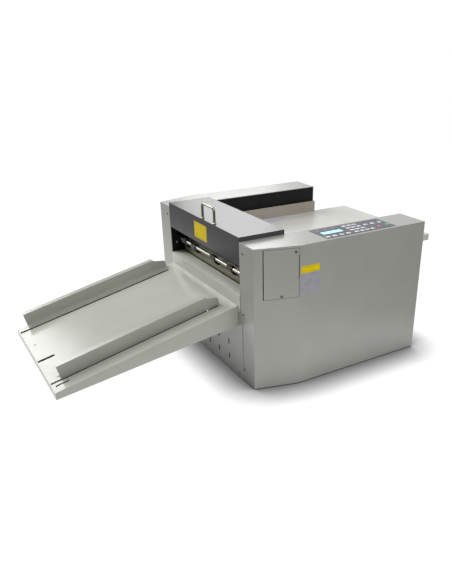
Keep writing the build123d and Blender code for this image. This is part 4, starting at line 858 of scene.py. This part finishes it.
# %% Embossed keys
def pillow(x, y, z, length, depth, height, corner=5.0):
    """Pillow over a superellipse: rings s from 1 to 0 of (x + s L/2 cos^(2/n), y + s D/2 sin^(2/n)), at
    the height z + h (1 - s^4), closed by a flat underside."""
    share = np.linspace(1, 0, 12)[:, None]
    angle = np.linspace(0, 2 * np.pi, 48, endpoint=False)
    wide = np.sign(np.cos(angle)) * np.abs(np.cos(angle)) ** (2 / corner)
    deep = np.sign(np.sin(angle)) * np.abs(np.sin(angle)) ** (2 / corner)
    xs, ys = x + share * length / 2 * wide, y + share * depth / 2 * deep
    top = np.stack([xs, ys, z + height * (1 - share ** 4) + 0 * wide], axis=-1)
    under = np.stack([xs, ys, z + 0 * share * wide], axis=-1)
    rows = np.concatenate([under[::-1], top])
    return rows.reshape(-1, 3), grid_faces(len(rows), 48)


foil_top = node_box("control_overlay")[1][2]
key_size, stop_size, start_size, key_height = (13, 9), (15, 10), (19, 14), 0.7
low_row_y, high_row_y = -81.5, -41
number_x, number_step_x, number_step_y = 318, 18.6, 19.3
menu_x, menu_step, other_x, other_step = 221, 22.7, 381, 25


def number_spot(column, row):
    """Middle of a key in the number block, counted from its lower left corner."""
    return number_x + number_step_x * column, low_row_y + number_step_y * row


menu_spots = [(menu_x + menu_step * i, low_row_y) for i in range(4)]
number_spots = [number_spot(column, row) for row in range(4) for column in range(3)]
other_spots = [number_spot(3, 0)] + [(other_x + other_step * i, high_row_y) for i in range(3)]
stop_spot, start_spot = (401, -74), (434.5, -69.5)
plain_keys = [pillow(x, y, foil_top, *key_size, key_height)
              for x, y in menu_spots + number_spots + other_spots]
make_piece("plain_keys", join(*plain_keys), key_plastic, "machine", ["keypad_keys"], 60)
make_piece("stop_pillow", pillow(*stop_spot, foil_top, *stop_size, key_height), stop_plastic, "machine",
           ["stop_key"], 60)
make_piece("start_pillow", pillow(*start_spot, foil_top, *start_size, key_height), start_plastic,
           "machine", ["start_key"], 60)


# %% [markdown]
# ## Numbers and marks on the keys
# The number keys carry plain digits, and the others get neutral marks: triangles, bars, squares and a
# diamond. Three small pale bars mark the lamps. Ink printed on a foil is a few hundredths of a millimetre
# thick. An image would need a map of every key, so the ink is a thin mesh. The digits start as text,
# become a mesh, and only then are moved to their keys, because a finished piece keeps its place in its
# mesh.

# %% Digits
digit_size_mm, digit_ink_mm = 6.5, 0.02
key_top = foil_top + key_height


def digit_mesh(name, words, x, y, z, material, body):
    """Digits as a thin raised mesh, centred on a place."""
    curve = bpy.data.curves.new(name + "_text", "FONT")
    curve.body = words
    curve.size = digit_size_mm * MM
    curve.extrude = digit_ink_mm * MM
    curve.align_x, curve.align_y = "CENTER", "CENTER"
    text = bpy.data.objects.new(name + "_text", curve)
    bpy.context.scene.collection.objects.link(text)
    bpy.context.view_layer.update()
    mesh = bpy.data.meshes.new_from_object(text.evaluated_get(bpy.context.evaluated_depsgraph_get()))
    bpy.data.objects.remove(text)
    mesh.transform(Matrix.Translation(Vector(place([x, y, z]))))
    mesh.materials.clear()
    mesh.materials.append(material)
    piece = bpy.data.objects.new(name, mesh)
    bpy.context.scene.collection.objects.link(piece)
    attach(piece, body)


digit_rows = [("123", 3), ("456", 2), ("789", 1)]
digit_keys = [(digit, column, row) for digits, row in digit_rows for column, digit in enumerate(digits)]
digit_keys.append(("0", 1, 0))
for digit, column, row in digit_keys:
    digit_mesh("digit_" + digit, digit, *number_spot(column, row), key_top, digit_ink, "machine")
print("digits on keys:", len(digit_keys))


# %% Marks
def mark(outline, x, y, z, height=0.04):
    """Flat printed mark: an outline of (x, y) drawn up by its ink, from a middle point on both faces."""
    outline = np.asarray(outline, float)
    ring = np.concatenate([outline + (x, y), np.full((len(outline), 1), z)], axis=1)
    middle = np.broadcast_to(ring.mean(axis=0), ring.shape)
    rows = np.stack([middle, ring, ring + (0, 0, height), middle + (0, 0, height)])
    return rows.reshape(-1, 3), grid_faces(4, len(outline))


left_arrow = [(-2, 0), (1.6, 2.1), (1.6, -2.1)]
right_arrow = [(2, 0), (-1.6, -2.1), (-1.6, 2.1)]
diamond = [(-2.4, 0), (0, -2.4), (2.4, 0), (0, 2.4)]
bar, square_mark = rectangle(2.6, 0.5), rectangle(1.7, 1.7)
marked_keys = [(left_arrow, menu_spots[0]), (bar, menu_spots[1]), (square_mark, menu_spots[2]),
               (right_arrow, menu_spots[3]), (left_arrow, number_spots[0]), (right_arrow, number_spots[2]),
               (square_mark, other_spots[0])] + [(bar, spot) for spot in other_spots[1:]]
key_marks = [mark(outline, *spot, key_top) for outline, spot in marked_keys]
make_piece("key_marks", join(*key_marks), digit_ink, "machine", crease=20)
pale_marks = [mark(square_mark, *stop_spot, key_top), mark(diamond, *start_spot, key_top)]
lamp_x, lamp_step, lamp_y = 228, 26, -24
lamp_outline = rounded(rectangle(3, 1), 0.8)
lamp_marks = [mark(lamp_outline, lamp_x + lamp_step * i, lamp_y, foil_top) for i in range(3)]
make_piece("pale_marks", join(*(pale_marks + lamp_marks)), key_plastic, "machine", crease=20)

# %% [markdown]
# ## Display
# The window shows two rows of sixteen character cells. Unlit cells of such a display are just visible
# as slightly darker boxes. A checked texture could draw them, but flat marks are known from the keys and
# keep their sharp edges. A raised frame of foil runs round the window.

# %% Character cells
cell_columns, cell_margin = 16, 5.5
window_low, window_high = node_box("display_window")
window_middle, window_size = (window_low + window_high) / 2, window_high - window_low
cell_x = np.linspace(window_low[0] + cell_margin, window_high[0] - cell_margin, cell_columns)
cell_y = window_low[1] + window_size[1] * np.array([0.32, 0.68])
cells = [mark(rectangle(1.45, 2.4), x, y, window_high[2], 0.03) for x in cell_x for y in cell_y]
make_piece("display_cells", join(*cells), display_cell, "machine", crease=20)


# %% Frame of the window
def frame_strip(length, depth, width, height, corner):
    """Closed ring round a rounded rectangle: four outlines (inner low, inner high, outer high, outer low),
    joined into a loop."""
    rings = [(0, 0), (0.1, height), (width - 0.1, height), (width, 0)]
    outlines = [rounded(rectangle(length / 2 + grow, depth / 2 + grow), corner + grow) for grow, _ in rings]
    rows = np.stack([np.concatenate([outline, np.full((len(outline), 1), rise)], axis=1)
                     for outline, (_, rise) in zip(outlines, rings)])
    return rows.reshape(-1, 3), grid_faces(len(rings), len(outlines[0]), ring_rows=True)


frame_gap, frame_width, frame_height, frame_corner = 1, 2.0, 0.35, 1.2
frame_points, frame_faces = frame_strip(window_size[0] + frame_gap, window_size[1] + frame_gap,
                                        frame_width, frame_height, frame_corner)
frame_points = frame_points + (window_middle[0], window_middle[1], foil_top)
make_piece("display_frame", (frame_points, frame_faces), panel_dark_foil, "machine")


# %% [markdown]
# ## Labels
# Three plain labels are stuck on the machine: yellow, grey and pale films with rounded corners and a
# printed border line, and the grey film has four empty fields. The line could be painted by a texture, but
# the frame of the window is the same form, only thinner.

# %% Printed border line
ink = 0.03


def border(size_u, size_v, line, corner, centre, u, v):
    """Printed line round a rounded rectangle, lying on a film."""
    points, faces = frame_strip(size_u - 2 * line, size_v - 2 * line, line, ink, corner)
    u, v = np.asarray(u, float), np.asarray(v, float)
    turned_points = points[:, :1] * u + points[:, 1:2] * v + points[:, 2:] * np.cross(u, v)
    return turned_points + np.asarray(centre, float), faces


# %% Label on the cover
label_sheet, label_corner = 0.3, 1.5
cover_low, cover_high = node_box("cover_label")
cover_middle = (cover_low + cover_high) / 2
cover_size = (cover_high - cover_low)[1:]
cover_film = film(*cover_size, label_sheet, label_corner, (0, *cover_middle[1:]), towards_near, upwards)
make_piece("cover_film", cover_film, label_film, "cover", ["cover_label"])
cover_line = border(*(cover_size - 7), 0.9, 1.0, (-label_sheet, *cover_middle[1:]), towards_near, upwards)
make_piece("cover_film_line", cover_line, label_rim_ink, "cover")

# %% Label in two parts on the near housing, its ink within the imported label's thickness
side_low, side_high = node_box("side_label")
side_x, side_width = (side_low[0] + side_high[0]) / 2, side_high[0] - side_low[0]
yellow_z, yellow_height, grey_z, grey_height = 332.25, 19.5, 291.75, 61
side_film = housing_face - side_low[1] - ink
side_yellow = film(side_width, yellow_height, side_film, 0.8, (side_x, housing_face, yellow_z), along_x,
                   upwards)
side_grey = film(side_width, grey_height, side_film, 0.8, (side_x, housing_face, grey_z), along_x, upwards)
side_front = housing_face - side_film
side_line = border(53, 14, 0.7, 0.8, (side_x, side_front, yellow_z), along_x, upwards)
fields = [border(23, 24.5, 0.5, 2.0, (side_x + i, side_front, grey_z + j), along_x, upwards)
          for i in (-13.8, 13.8) for j in (-14.6, 14.6)]
make_piece("side_film", side_yellow, label_film, "machine", ["side_label"])
make_piece("side_film_line", side_line, label_rim_ink, "machine")
make_piece("grey_film", side_grey, grey_film, "machine")
make_piece("grey_film_fields", join(*fields), grey_ink, "machine")

# %% Label on the feed table
table_low, table_high = node_box("table_label")
table_x, table_y = ((table_low + table_high) / 2)[:2]
table_size = (table_high - table_low)[:2]
table_film = film(*table_size, label_sheet, label_corner, (table_x, table_y, table_low[2]), along_x, across)
make_piece("table_film", table_film, pale_film, "machine", ["table_label"])
table_line = border(*(table_size - 6), 0.6, 1.0, (table_x, table_y, table_high[2]), along_x, across)
make_piece("table_film_line", table_line, grey_ink, "machine")

# %% [markdown]
# ## Screws of the tray
# A bright locking screw stands in the slot beside the near guide, and another one clamps the far guide's
# wall near the machine. The tray slopes, so their places could be worked out one by one with sines and
# cosines. A function of the way along the tray is safer.

# %% Locking screws
tray_angle = math.radians(12.8)
tray_up = np.array([-math.sin(tray_angle), 0, math.cos(tray_angle)])
tray_down = np.array([-math.cos(tray_angle), 0, -math.sin(tray_angle)])
tray_start = np.array([-1.8, 0, 221.5])


def on_tray(along, y, height=0.0):
    """Place on the sloping tray, measured along it from the machine."""
    return tray_start + along * tray_down + height * tray_up + (0, y, 0)


near_screw, far_screw = on_tray(70, 57.5), on_tray(72, 424, 5.5)
near_head = screw_head(near_screw, tray_up, 4.8, 2.4, 0.7)
far_head = screw_head(far_screw, towards_near, head_radius, head_height, 0.2)
make_piece("near_locking_screw", near_head, bright_screw, "machine")
make_piece("far_guide_screw", far_head, bright_screw, "far_guide")

# %% [markdown]
# ## White sweep
# The machine stands on white paper that reaches to the horizon, and the room beside it is kept dark, so
# that the painted faces don't turn milky. The paper therefore glows only where the picture shows it. Its
# edge follows the picture's edge on the floor, and beyond it the floor turns grey. Where walls and floor
# meet, the glow sinks, which leaves a soft shadow along the machine's foot. Under the outer part of the
# tray the glow stays, because the tray hangs high above the paper there.

# %% Edge of the paper
def floor_point(column, row):
    """Where a pixel's ray meets the floor, in metres."""
    ray = Vector(((column - axis_x) / focal_pixels, (axis_y - row) / focal_pixels, -1.0))
    ray = np.array(camera.matrix_world.to_3x3() @ ray)
    return (stand_point - ray * (stand_point[2] / ray[2]))[:2]


def outside(tree, spots, a, b):
    """Distance of a spot to the right of the floor line from a to b."""
    way = (b - a) / np.linalg.norm(b - a)
    normal = np.array([way[1], -way[0]])
    along = add_node(tree, "ShaderNodeVectorMath", {1: (*normal, 0.0)}, {0: spots}, operation="DOT_PRODUCT")
    return add_node(tree, "ShaderNodeMath", {1: float(a @ normal)}, {0: along.outputs["Value"]},
                    operation="SUBTRACT").outputs[0]


far_row = 250
near_left, near_right = floor_point(0, picture_height), floor_point(picture_width, picture_height)
far_left, far_right = floor_point(0, far_row), floor_point(picture_width, far_row)
print("the paper's near corners:", np.round(near_left, 2), np.round(near_right, 2))

# %% Floor
reach = 60.0
fade_width, outer_glow = 0.14, 0.16
shadow_reach, shadow_power = 0.11, 3.0
tray_shade_out, tray_shade_in = -0.45, -0.30
floor_mesh = bpy.data.meshes.new("studio_floor")
floor_mesh.from_pydata([(x, y, 0) for x, y in rectangle(reach, reach)], [], [(0, 1, 2, 3)])
floor = bpy.data.objects.new("studio_floor", floor_mesh)
bpy.context.scene.collection.objects.link(floor)

# %% Paper that glows inside the picture's edge and less where the machine stands close
paper, tree, shader, spots = new_finish("studio_paper", Roughness=0.9)
shader.inputs["Specular IOR Level"].default_value = 0.0
fibres = add_node(tree, "ShaderNodeTexNoise", {"Scale": 1 / (300 * MM)}, {"Vector": spots})
tree.links.new(between(tree, fibres.outputs["Fac"], "484848", "4C4C4C"), shader.inputs["Base Color"])
past = outside(tree, spots, far_left, near_left)
for a, b in ((near_left, near_right), (near_right, far_right)):
    side = outside(tree, spots, a, b)
    past = add_node(tree, "ShaderNodeMath", links={0: past, 1: side}, operation="MAXIMUM").outputs[0]
paper_glow = add_node(tree, "ShaderNodeMapRange", {"From Min": 0.0, "From Max": fade_width, "To Min": 1.0,
                                                   "To Max": outer_glow}, {"Value": past})
open_sky = add_node(tree, "ShaderNodeAmbientOcclusion", {"Distance": shadow_reach}, samples=16)
nearness = add_node(tree, "ShaderNodeMath", {1: shadow_power}, {0: open_sky.outputs["AO"]},
                    operation="POWER")
spot_x = add_node(tree, "ShaderNodeSeparateXYZ", links={"Vector": spots}).outputs["X"]
under_tray = add_node(tree, "ShaderNodeMapRange", {"From Min": tray_shade_out, "From Max": tray_shade_in,
                                                   "To Min": 1.0, "To Max": 0.0}, {"Value": spot_x})
shadow = add_node(tree, "ShaderNodeMath", links={0: nearness.outputs[0], 1: under_tray.outputs[0]},
                  operation="MAXIMUM")
glow = add_node(tree, "ShaderNodeMath", links={0: paper_glow.outputs[0], 1: shadow.outputs[0]},
                operation="MULTIPLY")
shader.inputs["Emission Color"].default_value = linear("FFFFFF")
tree.links.new(glow.outputs[0], shader.inputs["Emission Strength"])
floor_mesh.materials.append(paper)
print("floor ready")

# %% [markdown]
# ## The room
# The sky is an even grey room. It has a brighter wall behind the machine, because level surfaces seen at a
# low angle mirror what stands there, and a white strip at the horizon that is only as wide as the picture.
# A photograph of a studio would bring its own windows and colours into every face, so each is only a step
# of the angle between a direction of the sky and the middle of the wall or strip.

# %% Room
room_grey, wall_bright, strip_bright = 0.22, 0.80, 0.85
strip_turn, strip_from, strip_to = 0.49, 0.83, 0.91
strip_low, strip_high = 0.10, 0.15
wall_turn, wall_rise, wall_from, wall_to = 0.66, 0.3, 0.84, 0.96
world = bpy.data.worlds.new("studio_world")
bpy.context.scene.world = world
world.use_nodes = True
tree = world.node_tree
tree.nodes.clear()
ways = add_node(tree, "ShaderNodeTexCoord").outputs["Generated"]
height = add_node(tree, "ShaderNodeSeparateXYZ", links={"Vector": ways}).outputs["Z"]
strip_way = (math.sin(strip_turn), math.cos(strip_turn), 0.0)
ahead = add_node(tree, "ShaderNodeVectorMath", {1: strip_way}, {0: ways}, operation="DOT_PRODUCT")
inside = add_node(tree, "ShaderNodeMapRange", {"From Min": strip_from, "From Max": strip_to},
                  {"Value": ahead.outputs["Value"]})
strip = add_node(tree, "ShaderNodeMapRange", {"From Min": strip_low, "From Max": strip_high,
                                              "To Min": strip_bright, "To Max": 0.0}, {"Value": height})
wall_way = (math.sin(wall_turn) * 0.95, math.cos(wall_turn) * 0.95, wall_rise)
wall = add_node(tree, "ShaderNodeVectorMath", {1: wall_way}, {0: ways}, operation="DOT_PRODUCT")
wall_glow = add_node(tree, "ShaderNodeMapRange", {"From Min": wall_from, "From Max": wall_to,
                                                  "To Min": room_grey, "To Max": wall_bright},
                     {"Value": wall.outputs["Value"]})
bright = add_node(tree, "ShaderNodeMath", links={0: strip.outputs[0], 1: inside.outputs[0],
                                                 2: wall_glow.outputs[0]}, operation="MULTIPLY_ADD")
sky = add_node(tree, "ShaderNodeBackground", {"Color": linear("FFFFFF")}, {"Strength": bright.outputs[0]})
add_node(tree, "ShaderNodeOutputWorld", links={"Surface": sky.outputs["Background"]})
print("room ready")

# %% [markdown]
# ## Soft lights
# Every light is a broad soft panel, because small lamps would leave hard shadows and sharp spots on the
# paint. Two stand low behind the machine, where its level tops mirror them, and give their white glare.
# The key softbox stands behind the far side, towards the delivery end: it lights that end from above, and
# the sloping tray's outer end mirrors it. A panel overhead and a fill on the operator's side light the
# long front.

# %% Light panels
def light_panel(name, turn_deg, lift_deg, distance, size, brightness, aim=(0.0, 0.0, 0.3)):
    """Rectangular soft light, seen from the aim at a compass angle from +Y and a height angle. Its power
    is four times its area and brightness, so that a larger panel is no dimmer to look at."""
    turn_angle, lift = math.radians(turn_deg), math.radians(lift_deg)
    way = Vector((math.sin(turn_angle) * math.cos(lift), math.cos(turn_angle) * math.cos(lift),
                  math.sin(lift)))
    data = bpy.data.lights.new(name, "AREA")
    data.shape = "RECTANGLE"
    data.size, data.size_y = size
    data.energy = 4 * size[0] * size[1] * brightness
    lamp = bpy.data.objects.new(name, data)
    bpy.context.scene.collection.objects.link(lamp)
    lamp.location = Vector(aim) + distance * way
    lamp.rotation_euler = (-way).to_track_quat("-Z", "Y").to_euler()


near_top, tray_end = (-0.05, -0.27, 0.4), (-0.45, 0.0, 0.15)
light_panel("top_glare_panel", 28, 16.5, 4.0, (0.9, 0.5), 1.7)
light_panel("near_glare_panel", 29, 21.5, 4.0, (0.8, 0.42), 3.8, near_top)
light_panel("key_softbox", -24, 40, 3.0, (2.1, 2.2), 5.4, tray_end)
light_panel("overhead_panel", 178, 70, 3.0, (2.2, 2.2), 1.5)
light_panel("front_fill_panel", 178, 38, 3.5, (2.0, 2.0), 3.2)
print("studio ready")
